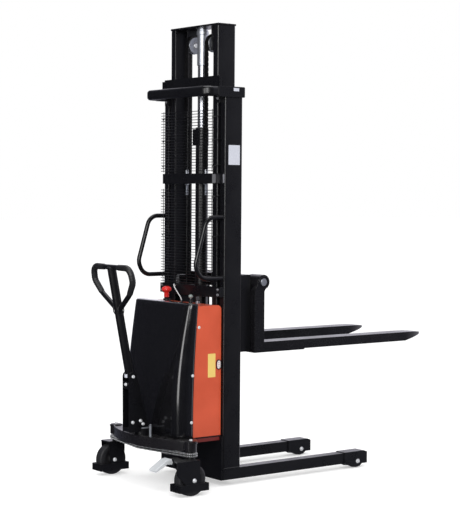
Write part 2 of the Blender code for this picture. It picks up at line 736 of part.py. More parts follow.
def deck_outline():
    """Plan of the deck: an arc towards the operator, rounded ends over the casters."""
    half_angle = math.degrees(math.asin(0.330 / DECK_ARC_RADIUS))
    rear = arc((0, DECK_ARC_CENTRE), DECK_ARC_RADIUS, -90 - half_angle, -90 + half_angle, 14)
    right = arc(SWIVEL, 0.036, -45, 80, 5)
    right += [(0.300, -0.190), (BOX_HALF, -0.170), (BOX_HALF, PANEL_FRONT)]
    left = [(-x, y) for x, y in reversed(right)]
    return rear + right + left


def build_deck():
    deck = add_object("base_plate", "chassis",
                      prism(deck_outline(), 2, DECK_TOP - 0.006, DECK_TOP), "black_paint")
    half_angle = math.degrees(math.asin(0.315 / DECK_ARC_RADIUS))
    start, end = -90 - half_angle, -90 + half_angle
    skirt = arc((0, DECK_ARC_CENTRE), DECK_ARC_RADIUS - 0.001, start, end, 10)
    skirt += reversed(arc((0, DECK_ARC_CENTRE), DECK_ARC_RADIUS - 0.007, start, end, 10))
    join(deck, "chassis", prism(skirt, 2, SKIRT_BOTTOM, DECK_TOP - 0.003))
    for side in (-1, 1):
        boss = rod((side * SWIVEL[0], SWIVEL[1], 0), 2, 0.031, SKIRT_BOTTOM + 0.001, 0.264, 20)
        join(deck, "chassis", boss)
    for side in (-1, 1):
        bore = rod((side * SWIVEL[0], SWIVEL[1], 0), 2, 0.0162, 0.200, 0.2580, 12)
        cut(deck, "chassis", bore)
    cut(deck, "chassis", rod(STEER_PIVOT, 2, 0.0162, 0.200, 0.270, 12))

    pin = [(0.0, DECK_TOP - 0.003), (0.006, DECK_TOP - 0.003), (0.006, DECK_TOP + 0.058)]
    pin += [(0.004, DECK_TOP + 0.062), (0.0, DECK_TOP + 0.062)]
    join(deck, "chassis", turned(pin, (0.105, -0.335, 0), 2, 8))

    build_steering_chain()


def build_steering_chain():
    """Closed loop under the deck, round the two caster sprockets and the tiller's sprocket."""
    low, high = STEER_CHAIN

    def loop(radius):
        rise = math.degrees(math.atan2(SWIVEL[1] - STEER_PIVOT[1], SWIVEL[0]))
        middle = arc(STEER_PIVOT[:2], radius, -90 - rise, -90 + rise, 2)
        right = arc(SWIVEL, radius, -90 + rise, 90, 8)
        return middle + right + [(-x, y) for x, y in reversed(right)]

    outline = loop(SPROCKET_RADIUS + 0.0055)
    chain = add_object("steering_chain", "chassis", prism(outline, 2, low, high), "chain_steel")
    cut(chain, "chassis", prism(loop(SPROCKET_RADIUS + 0.0005), 2, low - 0.01, high + 0.01))


def cover_rear(z):
    """Y of the cover's rear face: nearly upright below, leaning forward towards the top."""
    fall = min(1.0, max(0.0, (COVER_TOP - z) / 0.520))
    return -0.200 - 0.066 * math.sin(math.pi / 2 * fall)


def cover_edge(z):
    """Y of the joint between the cover and the power box."""
    fall = min(1.0, max(0.0, (COVER_TOP - z) / 0.600))
    return -0.152 - 0.028 * math.sin(math.pi / 2 * fall)


def cover_ring(z, inset, front):
    """Plan of the cover at one level, with rounded rear corners."""
    half = BOX_HALF + 0.003 - inset
    rear = cover_rear(z) + inset
    corner = 0.75 * (cover_edge(z) - cover_rear(z)) - inset
    ring = [(half, front)]
    ring += arc((half - corner, rear + corner), corner, 0, -90, 5)
    ring += arc((-half + corner, rear + corner), corner, -90, -180, 5)
    ring += [(-half, front)]
    return [(x, y, z) for x, y in ring]


def build_cover():
    low = DECK_TOP + GAP
    levels = [low + (COVER_TOP - low) * step / 7 for step in range(8)]
    outer = [cover_ring(z, 0.0, cover_edge(z) - GAP) for z in levels]
    shell = add_object("rear_cover", "chassis", closed_shape(outer), "cover_shell")
    wall = 0.0035
    depths = [low - 0.01] + levels[1:-1] + [COVER_TOP - wall]
    inner = [cover_ring(z, wall, cover_edge(z) + 0.01) for z in depths]
    cut(shell, "chassis", closed_shape(inner))


def build_power_box():
    """Sheet-metal shell, open towards the cover and the deck."""
    low = DECK_TOP + GAP
    front = -0.0045
    corner = 0.022

    def outline(inset, overrun):
        top = BOX_TOP - inset
        edge = front - inset
        radius = corner - inset
        side = [(edge, low - overrun)]
        side += arc((edge - radius, top - radius), radius, 0, 90, 5)
        levels = [top, 0.780, 0.640, 0.480, low - overrun]
        return side + [(cover_edge(z) - overrun, z) for z in levels]

    shell = add_object("power_box", "chassis",
                       prism(outline(0.0, 0.0), 0, -BOX_HALF, BOX_HALF), "box_paint")
    wall = 0.004
    cut(shell, "chassis", prism(outline(wall, 0.02), 0, -BOX_HALF + wall, BOX_HALF - wall))

    socket = arc((-0.022, 0.609), 0.015, 180, 360, 6) + arc((-0.022, 0.629), 0.015, 0, 180, 6)
    add_object("charge_socket", "chassis",
               prism(socket, 0, BOX_HALF + GAP, BOX_HALF + 0.006), "socket_pale")


def build_power_unit():
    """Battery on the deck, pump with its tank and motor on the battery, hose down to the deck."""
    shelf = 0.480
    add_object("battery", "chassis",
               box((-0.130, 0.130), (-0.170, -0.020), (DECK_TOP + GAP, shelf)), "battery_case")
    pump_x, pump_y, tank = -0.080, -0.085, 0.055
    pump = [(0.0, shelf + GAP), (0.045, shelf + GAP), (0.045, 0.650), (tank, 0.651)]
    pump += [(tank, 0.800), (0.0, 0.800)]
    add_object("pump_unit", "chassis", turned(pump, (pump_x, pump_y, 0), 2, 16), "pump_body")

    port = (pump_x + tank + GAP, pump_y, 0.750)
    route = [port, (0.160, pump_y, 0.750), (0.160, -0.050, DECK_TOP + 0.0015)]
    hose = swept(fillet(route, 0.050, 5), circle(0.008, 8), Vector((0.0, 1.0, 0.0)))
    add_object("hydraulic_hose", "chassis", hose, "hose_black")


def build_controls():
    x, y = STOP_BUTTON
    base = rod((x, y, 0), 2, 0.020, BOX_TOP + GAP, BOX_TOP + 0.016)
    add_object("stop_switch_base", "chassis", base, "grip_plastic")
    low = BOX_TOP + 0.023
    cap = [(0.0, low), (0.0135, low), (0.0135, 0.968), (0.024, 0.976), (0.026, 0.984)]
    cap += [(0.024, 0.992), (0.014, 0.997), (0.0, 0.998)]
    add_object("stop_button", "stop_button", turned(cap, (x, y, 0), 2, 16), "button_red")

    x, y = KEY_SWITCH
    low = BOX_TOP + GAP
    key = [(0.0, low), (0.012, low), (0.012, low + 0.012), (0.010, low + 0.014)]
    key.append((0.0, low + 0.014))
    switch = add_object("key_switch", "key_switch", turned(key, (x, y, 0), 2, 16), "zinc")
    blade = box((x - 0.0015, x + 0.0015), (y - 0.010, y + 0.010), (low + 0.010, low + 0.036))
    join(switch, "key_switch", blade)

    x, y, z = LIFT_LEVER
    ball = 0.0094
    stem = [(0.0, z - ball)] + arc((0.0, z), ball, -60, 60, 4)
    stem += [(0.004, 0.9430), (0.0085, 0.946), (0.0120, 0.954), (0.0085, 0.962), (0.0, 0.965)]
    add_object("lift_lever", "lift_lever", turned(stem, (x, y, 0), 2, 12), "knob_grey")

    route = [(-0.118, -0.029, 0.996), (-0.116, -0.038, 1.008), (-0.092, -0.052, 0.990)]
    route += [(-0.030, -0.062, 0.950), (-0.016, -0.062, 0.935), (-0.016, -0.062, BOX_TOP + 0.001)]
    cable = swept(fillet(route, 0.006, 3), circle(0.0025, 6))
    add_object("signal_cable", "chassis", cable, "cable_grey")


# ---------------------------------------------------------------- steering and tiller

def build_casters():
    x, y, z = CASTER
    half_outer = 0.0385
    wall = 0.006
    sides = ("left", "right")
    for side, label in zip((-1, 1), sides):
        name = "steer_fork_" + label
        centre = side * x
        crown_x = (centre - half_outer, centre + half_outer)
        front = [(y + 0.034, 0.030), (y + 0.040, 0.062), (y + 0.062, 0.120), (y + 0.062, 0.174)]
        short = [(y - 0.036, 0.174), (y - 0.030, 0.110), (y - 0.024, 0.062), (y - 0.024, 0.030)]
        plan = [(crown_x[0], y - 0.036), (crown_x[1], y - 0.036), (crown_x[1], y + 0.062)]
        outer, inner = short + front, short + front
        if side > 0:
            front = [(y + 0.034, 0.030), (y + 0.036, 0.174)]
            outer = [(y - 0.102, 0.174), (y - 0.102, 0.112), (y - 0.052, 0.064), (y - 0.036, 0.030)]
            inner = [(y - 0.070, 0.174), (y - 0.070, 0.150), (y - 0.030, 0.092), (y - 0.030, 0.030)]
            outer, inner = outer + front, inner + front
            plan = [(crown_x[0], y - 0.070), (crown_x[1], y - 0.102), (crown_x[1], y + 0.036)]
        plan.append((crown_x[0], plan[-1][1]))
        fork = add_object(name, name, prism(plan, 2, 0.170, CASTER_CROWN), "black_paint")
        for edge, cheek in ((side, outer), (-side, inner)):
            cheek_x = sorted((centre + edge * half_outer, centre + edge * (half_outer - wall)))
            join(fork, name, prism(cheek, 0, *cheek_x))
        join(fork, name, guard_loop(centre, y, wall))
        low, high = STEER_CHAIN
        stem = [(0.0, 0.175), (0.020, 0.175), (0.020, low), (SPROCKET_RADIUS, low)]
        stem += [(SPROCKET_RADIUS, high), (0.015, high), (0.015, 0.2570), (0.0, 0.2570)]
        join(fork, name, turned(stem, (side * SWIVEL[0], SWIVEL[1], 0), 2, 16))
        reach = (centre - half_outer - 0.01, centre + half_outer + 0.01)
        cut(fork, name, rod((0, y, z), 0, AXLE_RADIUS + 0.0004, *reach, 12))

        wheel_name = "steer_wheel_" + label
        half = [(0.0, half_outer - 0.001), (AXLE_RADIUS, half_outer - 0.001)]
        half += [(AXLE_RADIUS, 0.0290), (0.026, 0.0290), (0.030, 0.0230)]
        half += [(0.076, 0.0250), (CASTER[2], 0.0210)]
        profile = half + [(radius, -height) for radius, height in reversed(half)]
        wheel = turned(profile, (centre, y, z), 0)
        add_object(wheel_name, wheel_name, wheel, "wheel_rubber")


def guard_loop(centre, y, wall):
    """Foot guard: a flat strip bent to a rectangle round the wheel, just above the floor."""
    half_x = 0.043
    outer = [(centre - half_x, y - 0.088), (centre + half_x, y - 0.088)]
    outer += [(centre + half_x, y + 0.086), (centre - half_x, y + 0.086)]
    thick = wall - 0.001
    inner = [(px + math.copysign(thick, centre - px), py + math.copysign(thick, y - py))
             for px, py in outer]
    rings = []
    for outline, level in ((outer, 0.025), (outer, 0.062), (inner, 0.062), (inner, 0.025)):
        rings.append([(px, py, level) for px, py in outline])
    return looped(rings)


def build_brake():
    x, y, z = BRAKE_PIVOT
    bracket = box((0.262, 0.320), (y + 0.010, y + 0.060), (0.150, CASTER_CROWN - 0.0005))
    join(bpy.data.objects["steer_fork_right"], "steer_fork_right", bracket)
    outline = [(y + 0.006, z + 0.004), (y - 0.002, z + 0.022), (y - 0.030, z + 0.018)]
    outline += [(y - 0.100, z - 0.026), (y - 0.094, z - 0.038), (y - 0.026, z - 0.004)]
    outline += [(y + 0.002, z - 0.008)]
    pedal = add_object("brake_pedal", "brake_pedal", prism(outline, 0, x - 0.028, x + 0.028),
                       "zinc")
    soften(pedal, 0.002, 1)


def tiller_point(distance, side=0.0, forward=0.0):
    """A point on the leaning tiller: distance up from its pivot, side along X."""
    y = TILT_PIVOT[1] - distance * math.sin(TILLER_LEAN) + forward * math.cos(TILLER_LEAN)
    z = TILT_PIVOT[2] + distance * math.cos(TILLER_LEAN) + forward * math.sin(TILLER_LEAN)
    return (side, y, z)


def build_tiller():
    _, y, z = STEER_PIVOT
    swivel = add_object("tiller_bracket", "tiller_swivel",
                        rod((0, y, 0), 2, 0.042, z + GAP, z + 0.034, 20), "black_paint")
    low, high = STEER_CHAIN
    stem = [(0.0, low), (SPROCKET_RADIUS, low), (SPROCKET_RADIUS, high), (0.015, high)]
    stem += [(0.015, z + 0.010), (0.0, z + 0.010)]
    join(swivel, "tiller_swivel", turned(stem, (0, y, 0), 2, 16))
    cheek = [(-0.412, z + 0.020), (-0.290, z + 0.020), (-0.300, z + 0.060), (-0.366, 0.560)]
    cheek += arc(TILT_PIVOT[1:], 0.024, 0, 180, 6) + [(-0.414, 0.560)]
    for side in (-1, 1):
        join(swivel, "tiller_swivel", prism(cheek, 0, *sorted((side * 0.0245, side * 0.0305))))
    join(swivel, "tiller_swivel", box((-0.026, 0.026), (-0.411, -0.306), (z + 0.021, z + 0.040)))

    base = tiller_point(0.012)
    top = tiller_point(TILLER_LENGTH)
    arm = add_object("tiller_arm", "tiller", swept([base, top], circle(0.0235, 12),
                     Vector((1.0, 0.0, 0.0))), "black_paint")
    eye = rod((0, *TILT_PIVOT[1:]), 0, 0.0235, -0.0238, 0.0238, 12)
    join(arm, "tiller", eye)

    ends = 0.336
    loop = [(0.0, ends), (-0.120, 0.424), (-HANDLE_HALF, 0.490), (-HANDLE_HALF + 0.008, 0.562)]
    corners = loop + [(-side, up) for side, up in reversed(loop[1:])]
    route = [Vector(tiller_point(up, side)) for side, up in corners] + [Vector(tiller_point(ends))]
    handle = swept(fillet(route, 0.032, 4), circle(0.0145, 8), Vector((0.0, 1.0, 0.0)))
    join(arm, "tiller", handle)


def main():
    clear_scene()
    make_materials()
    make_empties()
    build_outer_mast()
    build_mesh_guards()
    build_grab_handles()
    build_cylinder()
    build_inner_mast()
    build_chain_wheels()
    build_chains()
    build_mast_rollers()
    build_carriage()
    build_forks()
    build_legs()
    build_chassis_panel()
    build_deck()
    build_cover()
    build_power_box()
    build_power_unit()
    build_controls()
    build_casters()
    build_brake()
    build_tiller()


main()
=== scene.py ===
"""Looks of the walkie stacker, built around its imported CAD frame."""

import math

import bmesh
import bpy
from mathutils import Matrix, Vector


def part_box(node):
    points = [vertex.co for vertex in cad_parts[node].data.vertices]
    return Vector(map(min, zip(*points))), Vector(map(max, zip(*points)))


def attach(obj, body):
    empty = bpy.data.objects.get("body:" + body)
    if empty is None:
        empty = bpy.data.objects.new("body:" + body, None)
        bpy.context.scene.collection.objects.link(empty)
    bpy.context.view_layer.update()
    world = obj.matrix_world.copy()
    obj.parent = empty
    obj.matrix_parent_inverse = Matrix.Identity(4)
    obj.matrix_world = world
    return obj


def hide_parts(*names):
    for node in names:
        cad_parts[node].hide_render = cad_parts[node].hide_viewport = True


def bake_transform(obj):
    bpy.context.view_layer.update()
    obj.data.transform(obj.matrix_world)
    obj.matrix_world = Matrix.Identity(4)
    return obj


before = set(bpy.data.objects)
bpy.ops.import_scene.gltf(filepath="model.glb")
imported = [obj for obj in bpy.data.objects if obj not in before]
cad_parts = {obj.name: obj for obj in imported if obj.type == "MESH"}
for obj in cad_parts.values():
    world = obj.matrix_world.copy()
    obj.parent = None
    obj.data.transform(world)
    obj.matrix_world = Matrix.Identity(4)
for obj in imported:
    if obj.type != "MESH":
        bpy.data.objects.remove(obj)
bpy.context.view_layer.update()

# Every place below is measured from the rear face of the outer mast: X right, Y to the fork tips.
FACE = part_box("outer_rail_right")[0].y
SIDES = ((-1, "left"), (1, "right"))
UP = Vector((0.0, 0.0, 1.0))
RIGHT = Vector((1.0, 0.0, 0.0))
FORWARD = Vector((0.0, 1.0, 0.0))

# Places and sizes that several pieces share.
DECK_TOP = 0.26
SWIVEL = (0.335, -0.252)
STEER_AXIS = (0.0, -0.312)
TILLER_PIVOT = Vector((0.0, -0.39, 0.56))
GUARD_POST = 0.212
HANDLE_FEET = (1.36, 1.053)
CHAIN_PITCH = 0.0127
CHAIN_RADIUS = 0.046
BOW_RADIUS = 0.042

# Flats of a turned surface, and finishes by name.
ROUND_STEPS = 48
MATERIALS = {}


def node_box(name):
    """Lowest and highest corner of a CAD node, measured from the mast's rear face."""
    low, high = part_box(name)
    return low - FORWARD * FACE, high - FORWARD * FACE


def node_size(name):
    """Middle and half size of a CAD node."""
    low, high = node_box(name)
    return (low + high) / 2.0, (high - low) / 2.0


def node_foot(name):
    """Middle of a CAD node's lowest level, and its height."""
    middle, half = node_size(name)
    return middle - UP * half.z, 2.0 * half.z


def put(thing, **values):
    """Set some attributes of a node, modifier, light or camera."""
    for key, value in values.items():
        setattr(thing, key, value)


# ---------------------------------------------------------------- shapes

def arc(centre, radius, start, end, steps):
    """Points of an arc in a plane, angles in degrees."""
    points = []
    for step in range(steps + 1):
        angle = math.radians(start + (end - start) * step / steps)
        points.append((centre[0] + radius * math.cos(angle), centre[1] + radius * math.sin(angle)))
    return points


def circle(radius, steps=24):
    return arc((0.0, 0.0), radius, 0.0, 360.0 * (steps - 1) / steps, steps - 1)


def skin(rings, start=True, end=True, wrap=True):
    """A surface through equal rings of points, with its first and last ring filled in."""
    shape = bmesh.new()
    loops = [[shape.verts.new(point) for point in ring] for ring in rings]
    for ring, following in zip(loops, loops[1:]):
        for index in range(len(ring) if wrap else len(ring) - 1):
            after = (index + 1) % len(ring)
            shape.faces.new((ring[index], ring[after], following[after], following[index]))
    if start:
        shape.faces.new(reversed(loops[0]))
    if end:
        shape.faces.new(loops[-1])
    bmesh.ops.recalc_face_normals(shape, faces=shape.faces)
    return shape


def prism(outline, axis, low, high):
    """An outline extruded along axis 0, 1 or 2; its two coordinates are the other two axes."""
    rings = []
    for level in (low, high):
        ring = []
        for first, second in outline:
            point = [first, second]
            point.insert(axis, level)
            ring.append(point)
        rings.append(ring)
    return skin(rings)


def box(x, y, z):
    outline = [(x[0], y[0]), (x[1], y[0]), (x[1], y[1]), (x[0], y[1])]
    return prism(outline, 2, *z)


def rounded(x, y, radius, steps=5):
    """A rectangle with round corners."""
    points = arc((x[1] - radius, y[1] - radius), radius, 0, 90, steps)
    points += arc((x[0] + radius, y[1] - radius), radius, 90, 180, steps)
    points += arc((x[0] + radius, y[0] + radius), radius, 180, 270, steps)
    points += arc((x[1] - radius, y[0] + radius), radius, 270, 360, steps)
    return points


def turned(profile, centre=(0.0, 0.0, 0.0), axis=2, steps=ROUND_STEPS):
    """A profile of (radius, height) points turned about an axis."""
    shape = bmesh.new()
    rings = []
    for radius, height in profile:
        ring = []
        for step in range(steps if radius > 0.0 else 1):
            angle = math.tau * step / steps
            point = [radius * math.cos(angle), radius * math.sin(angle)]
            point.insert(axis, height)
            ring.append(shape.verts.new(point))
        rings.append(ring)
    for ring, following in zip(rings, rings[1:]):
        for step in range(steps):
            after = (step + 1) % steps
            corners = [ring[step % len(ring)], ring[after % len(ring)]]
            corners += [following[after % len(following)], following[step % len(following)]]
            shape.faces.new(list(dict.fromkeys(corners)))
    bmesh.ops.recalc_face_normals(shape, faces=shape.faces)
    bmesh.ops.translate(shape, verts=shape.verts, vec=Vector(centre))
    return shape


def wheel(section, centre, steps=ROUND_STEPS):
    """A closed (radius, height) section turned about X, with a bore."""
    rings = []
    for step in range(steps + 1):
        angle = math.tau * step / steps
        spoke = Vector((0.0, math.cos(angle), math.sin(angle)))
        rings.append([Vector((height, 0.0, 0.0)) + spoke * radius for radius, height in section])
    shape = skin(rings, start=False, end=False)
    bmesh.ops.remove_doubles(shape, verts=shape.verts, dist=1e-6)
    bmesh.ops.recalc_face_normals(shape, faces=shape.faces)
    bmesh.ops.translate(shape, verts=shape.verts, vec=Vector(centre))
    return shape


def both_ways(half, *profile):
    """A profile of (radius, inset) points from an outer face at half, and its mirror image."""
    outer = [(radius, half - inset) for radius, inset in profile]
    return outer + [(radius, -height) for radius, height in reversed(outer)]


def fillet(points, radius, steps=8):
    """Round the corners of a path, keeping its two ends."""
    path = [Vector(points[0])]
    for before, corner, after in zip(points, points[1:], points[2:]):
        corner = Vector(corner)
        back = (Vector(before) - corner).normalized()
        ahead = (Vector(after) - corner).normalized()
        half_angle = back.angle(ahead) / 2.0
        reach = radius / math.tan(half_angle)
        start = corner + back * reach
        end = corner + ahead * reach
        centre = corner + (back + ahead).normalized() * (radius / math.sin(half_angle))
        for step in range(steps + 1):
            spoke = (start - centre).slerp(end - centre, step / steps)
            path.append(centre + spoke.normalized() * radius)
    path.append(Vector(points[-1]))
    return path


def swept(path, section, upright=UP, widths=None):
    """A section of (side, up) points carried along a path, with flat ends."""
    rings = []
    side = None
    for index, point in enumerate(path):
        before = Vector(path[max(index - 1, 0)])
        after = Vector(path[min(index + 1, len(path) - 1)])
        along = (after - before).normalized()
        if side is None:
            side = along.cross(upright).normalized()
        side = (side - along * side.dot(along)).normalized()
        up = side.cross(along)
        scale = widths[index] if widths else 1.0
        rings.append([Vector(point) + (side * s + up * u) * scale for s, u in section])
    return skin(rings)


def resampled(path, spacing):
    """Evenly spaced points along a path."""
    points = [Vector(point) for point in path]
    lengths = [(b - a).length for a, b in zip(points, points[1:])]
    count = max(2, round(sum(lengths) / spacing))
    step = sum(lengths) / count
    result = [points[0]]
    target = step
    travelled = 0.0
    for a, b, length in zip(points, points[1:], lengths):
        while target <= travelled + length + 1e-9 and len(result) < count:
            result.append(a.lerp(b, (target - travelled) / length))
            target += step
        travelled += length
    result.append(points[-1])
    return result


def spline(points, per_span=6):
    """A smooth curve through the points of a route."""
    knots = [Vector(point) for point in points]
    knots = [knots[0] * 2 - knots[1]] + knots + [knots[-1] * 2 - knots[-2]]
    path = []
    for a, b, c, d in zip(knots, knots[1:], knots[2:], knots[3:]):
        for step in range(per_span):
            t = step / per_span
            path.append(0.5 * (2 * b + (c - a) * t + (2 * a - 5 * b + 4 * c - d) * t * t
                               + (3 * b - a - 3 * c + d) * t ** 3))
    path.append(knots[-2])
    return path


def weld(points, radius):
    """A weld bead with its ripples, along a path, thinner at its two ends."""
    ripple_spacing = 0.0016
    path = resampled(points, ripple_spacing)
    widths = []
    for index in range(len(path)):
        tail = min(index, len(path) - 1 - index)
        widths.append(min(1.0, 0.35 + 0.2 * tail) * (1.0 + 0.13 * math.sin(index * 2.1)))
    tilted = Vector((0.31, 0.17, 0.93))
    return swept(path, circle(radius, 8), tilted, widths)


def merged(shapes, places=(Matrix(),)):
    """Shapes as one shape, each repeated where the matrices put it."""
    mesh = bpy.data.meshes.new("merged")
    whole = bmesh.new()
    for shape in shapes:
        for place in places:
            shape.to_mesh(mesh)
            mesh.transform(place)
            whole.from_mesh(mesh)
    bpy.data.meshes.remove(mesh)
    return whole


def copies(shape, spots):
    """Copies of a shape at some points."""
    return merged([shape], [Matrix.Translation(spot) for spot in spots])


def facing(centre, direction):
    """A matrix that stands a shape drawn along +Z on a point, along a direction."""
    turn = Vector(direction).to_track_quat("Z", "Y").to_matrix().to_4x4()
    return Matrix.Translation(Vector(centre)) @ turn


# ---------------------------------------------------------------- pieces

def modify(piece, kind, **settings):
    put(piece.modifiers.new(kind.lower(), kind), **settings)


def finish_edges(piece, width):
    """Round the edges of a piece and keep its flat faces flat."""
    if width:
        modify(piece, "BEVEL", width=width, segments=2, limit_method="ANGLE",
               angle_limit=math.radians(32.0), use_clamp_overlap=True)
        modify(piece, "WEIGHTED_NORMAL", keep_sharp=True)


def add_piece(name, body, shapes, finish="black_paint", replaces=(), edge=0.0):
    """One piece of the visual model, from shapes drawn in the mast's frame."""
    shape = merged(shapes) if isinstance(shapes, list) else shapes
    bmesh.ops.translate(shape, verts=shape.verts, vec=FORWARD * FACE)
    mesh = bpy.data.meshes.new(name)
    shape.to_mesh(mesh)
    shape.free()
    mesh.shade_smooth()
    if not edge:
        mesh.set_sharp_from_angle(angle=math.radians(38.0))
    mesh.materials.append(MATERIALS[finish])
    piece = bpy.data.objects.new(name, mesh)
    bpy.context.scene.collection.objects.link(piece)
    finish_edges(piece, edge)
    if body:
        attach(piece, body)
    if replaces:
        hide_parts(*replaces)
    return piece


def carry_over(name, finish="black_paint", edge=0.0012):
    """Keep a CAD node, with rounded edges and a real finish."""
    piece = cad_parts[name]
    mesh = piece.data
    mesh.shade_smooth()
    for layer in ("custom_normal", "sharp_edge", "sharp_face"):
        if layer in mesh.attributes:
            mesh.attributes.remove(mesh.attributes[layer])
    mesh.materials.clear()
    mesh.materials.append(MATERIALS[finish])
    modify(piece, "WELD", merge_threshold=0.00001)
    modify(piece, "DECIMATE", decimate_type="DISSOLVE", angle_limit=math.radians(0.3))
    finish_edges(piece, edge)


def hex_head(across, height):
    """A hexagonal head on a washer, along +Z from the face that it clamps."""
    washer = 0.0016
    corner = across / math.sqrt(3.0)
    rings = []
    for radius, level in ((corner, 0.0), (corner, height * 0.85), (corner * 0.88, height)):
        rings.append([(x, y, washer + level) for x, y in circle(radius, 6)])
    disc = corner * 1.22
    plate = turned([(0.0, 0.0), (disc, 0.0), (disc, washer - 0.0004), (disc - 0.0004, washer),
                    (0.0, washer)], steps=24)
    return merged([skin(rings), plate])


def socket_head(radius, height):
    """A round screw head with a recess, along +Z."""
    shares = ((0.0, 0.0), (1.0, 0.0), (0.96, 0.45), (0.75, 0.88), (0.48, 1.0), (0.44, 0.92),
              (0.42, 0.35), (0.0, 0.3))
    return turned([(radius * across, height * up) for across, up in shares], steps=24)


def add_heads(name, body, head, places, finish="bolt_zinc"):
    """Bolt or screw heads, each at a point and along a direction."""
    add_piece(name, body, merged([head], [facing(*place) for place in places]), finish)


# ---------------------------------------------------------------- materials

class Nodes:
    """Short calls that build a material's or the world's node tree."""

    def __init__(self, owner):
        owner.use_nodes = True
        self.tree = owner.node_tree

    def feed(self, value, socket):
        if isinstance(value, bpy.types.NodeSocket):
            self.tree.links.new(value, socket)
        else:
            socket.default_value = value

    def add(self, kind, output, inputs=(), **settings):
        """Add a node, set or link its inputs, and give one of its outputs."""
        node = self.tree.nodes.new("ShaderNode" + kind)
        put(node, **settings)
        for key, value in dict(inputs).items():
            self.feed(value, node.inputs[key])
        return node.outputs[output]

    def surface(self, **values):
        """Set or link inputs of the shader, named with _ for a space."""
        for name, value in values.items():
            self.feed(value, self.tree.nodes["Principled BSDF"].inputs[name.replace("_", " ")])

    def noise(self, scale, detail=3.0, stretch=(1.0, 1.0, 1.0)):
        place = self.add("TexCoord", "Object")
        place = self.add("Mapping", "Vector", {"Vector": place, "Scale": stretch})
        return self.add("TexNoise", "Fac", {"Vector": place, "Scale": scale, "Detail": detail})

    def ranged(self, value, low, high, to_low=0.0, to_high=1.0):
        return self.add("MapRange", 0, enumerate((value, low, high, to_low, to_high)))

    def maths(self, operation, first, second):
        return self.add("Math", 0, enumerate((first, second)), operation=operation, use_clamp=True)

    def mixed(self, share, first, second):
        return self.add("Mix", 2, {"Factor": share, 6: first, 7: second}, data_type="RGBA")

    def dot(self, first, second):
        return self.add("VectorMath", "Value", enumerate((first, second)), operation="DOT_PRODUCT")

    def bump(self, height, strength, distance):
        return self.add("Bump", 0, {"Height": height, "Strength": strength, "Distance": distance})

    def edges(self, radius):
        """1 where a sharp edge is near, 0 on flat faces."""
        soft = self.add("Bevel", 0, {"Radius": radius}, samples=4)
        return self.ranged(self.dot(soft, self.add("NewGeometry", "Normal")), 0.985, 0.9)

    def dust(self, amount, grain, patches, facing_up):
        """Dust in patches, on faces that look up."""
        level = self.add("SeparateXYZ", "Z", {0: self.add("NewGeometry", "Normal")})
        patchy = self.ranged(self.noise(grain, 5.0), *patches, amount)
        return self.maths("MULTIPLY", self.ranged(level, *facing_up), patchy)


def material(name):
    MATERIALS[name] = bpy.data.materials.new(name)
    return Nodes(MATERIALS[name])


def shade(value, colour):
    return tuple(min(1.0, value * part) for part in colour) + (1.0,)


def painted(name, colour, roughness, wear=0.5, dust=0.35, peel=0.12, coat=0.0,
            bare=(0.1, 0.1, 0.11), powder=0.075):
    """Sprayed paint: slight mottling, orange peel, dust on top faces, edges rubbed to metal."""
    n = material(name)
    mottle = n.noise(9.0, 4.0)
    dusty = n.dust(dust, 28.0, (0.42, 0.78, 0.05), (0.5, 0.95))
    rub = n.maths("MULTIPLY", n.edges(0.0013), n.ranged(n.noise(70.0, 4.0), 0.5, 0.66, 0.0, wear))
    base = n.mixed(mottle, shade(0.82, colour), shade(1.22, colour))
    base = n.mixed(dusty, base, shade(powder, (1.0, 0.97, 0.94)))
    rough = n.ranged(mottle, 0.3, 0.7, roughness - 0.04, roughness + 0.05)
    rough = n.maths("ADD", rough, n.maths("MULTIPLY", dusty, 0.35))
    rough = n.maths("ADD", rough, n.ranged(n.noise(260.0, 2.0), 0.35, 0.75, 0.0, 0.06))
    n.surface(Base_Color=n.mixed(rub, base, (*bare, 1.0)), Roughness=rough,
              Metallic=n.maths("MULTIPLY", rub, 0.8), Normal=n.bump(n.noise(520.0, 2.0), peel, 0.0006))
    if coat:
        n.surface(Coat_Weight=coat, Coat_Roughness=0.06)


def metal(name, colour, roughness, brushed=(1.0, 1.0, 1.0), scratches=0.1, stain=0.15, matt=0.0):
    """Bare or plated metal with fine scratches and faint stains; matt adds a passivated skin."""
    n = material(name)
    cloud = n.noise(35.0, 4.0)
    lines = n.noise(420.0, 3.0, brushed)
    rough = n.ranged(lines, 0.3, 0.7, roughness - scratches / 2, roughness + scratches)
    rough = n.maths("ADD", rough, n.ranged(cloud, 0.55, 0.8, 0.0, 0.12))
    n.surface(Base_Color=n.mixed(cloud, shade(1.0 - stain, colour), shade(1.0 + stain * 0.5, colour)),
              Roughness=rough, Metallic=1.0 - matt, Normal=n.bump(lines, 0.1, 0.0003))


def moulded(name, colour, roughness, grain=700.0, relief=0.18, dust=0.0, variation=0.12):
    """Moulded plastic or rubber with a fine grain and a little dust."""
    n = material(name)
    cloud = n.noise(14.0, 4.0)
    base = n.mixed(cloud, shade(1.0 - variation, colour), shade(1.0 + variation, colour))
    dusty = n.dust(dust, 40.0, (0.4, 0.8, 0.0), (0.2, 1.0))
    rough = n.ranged(cloud, 0.3, 0.7, roughness - 0.05, roughness + 0.06)
    n.surface(Base_Color=n.mixed(dusty, base, (0.3, 0.29, 0.28, 1.0)),
              Roughness=n.maths("ADD", rough, n.maths("MULTIPLY", dusty, 0.4)),
              Normal=n.bump(n.noise(grain, 2.0), relief, 0.0005))


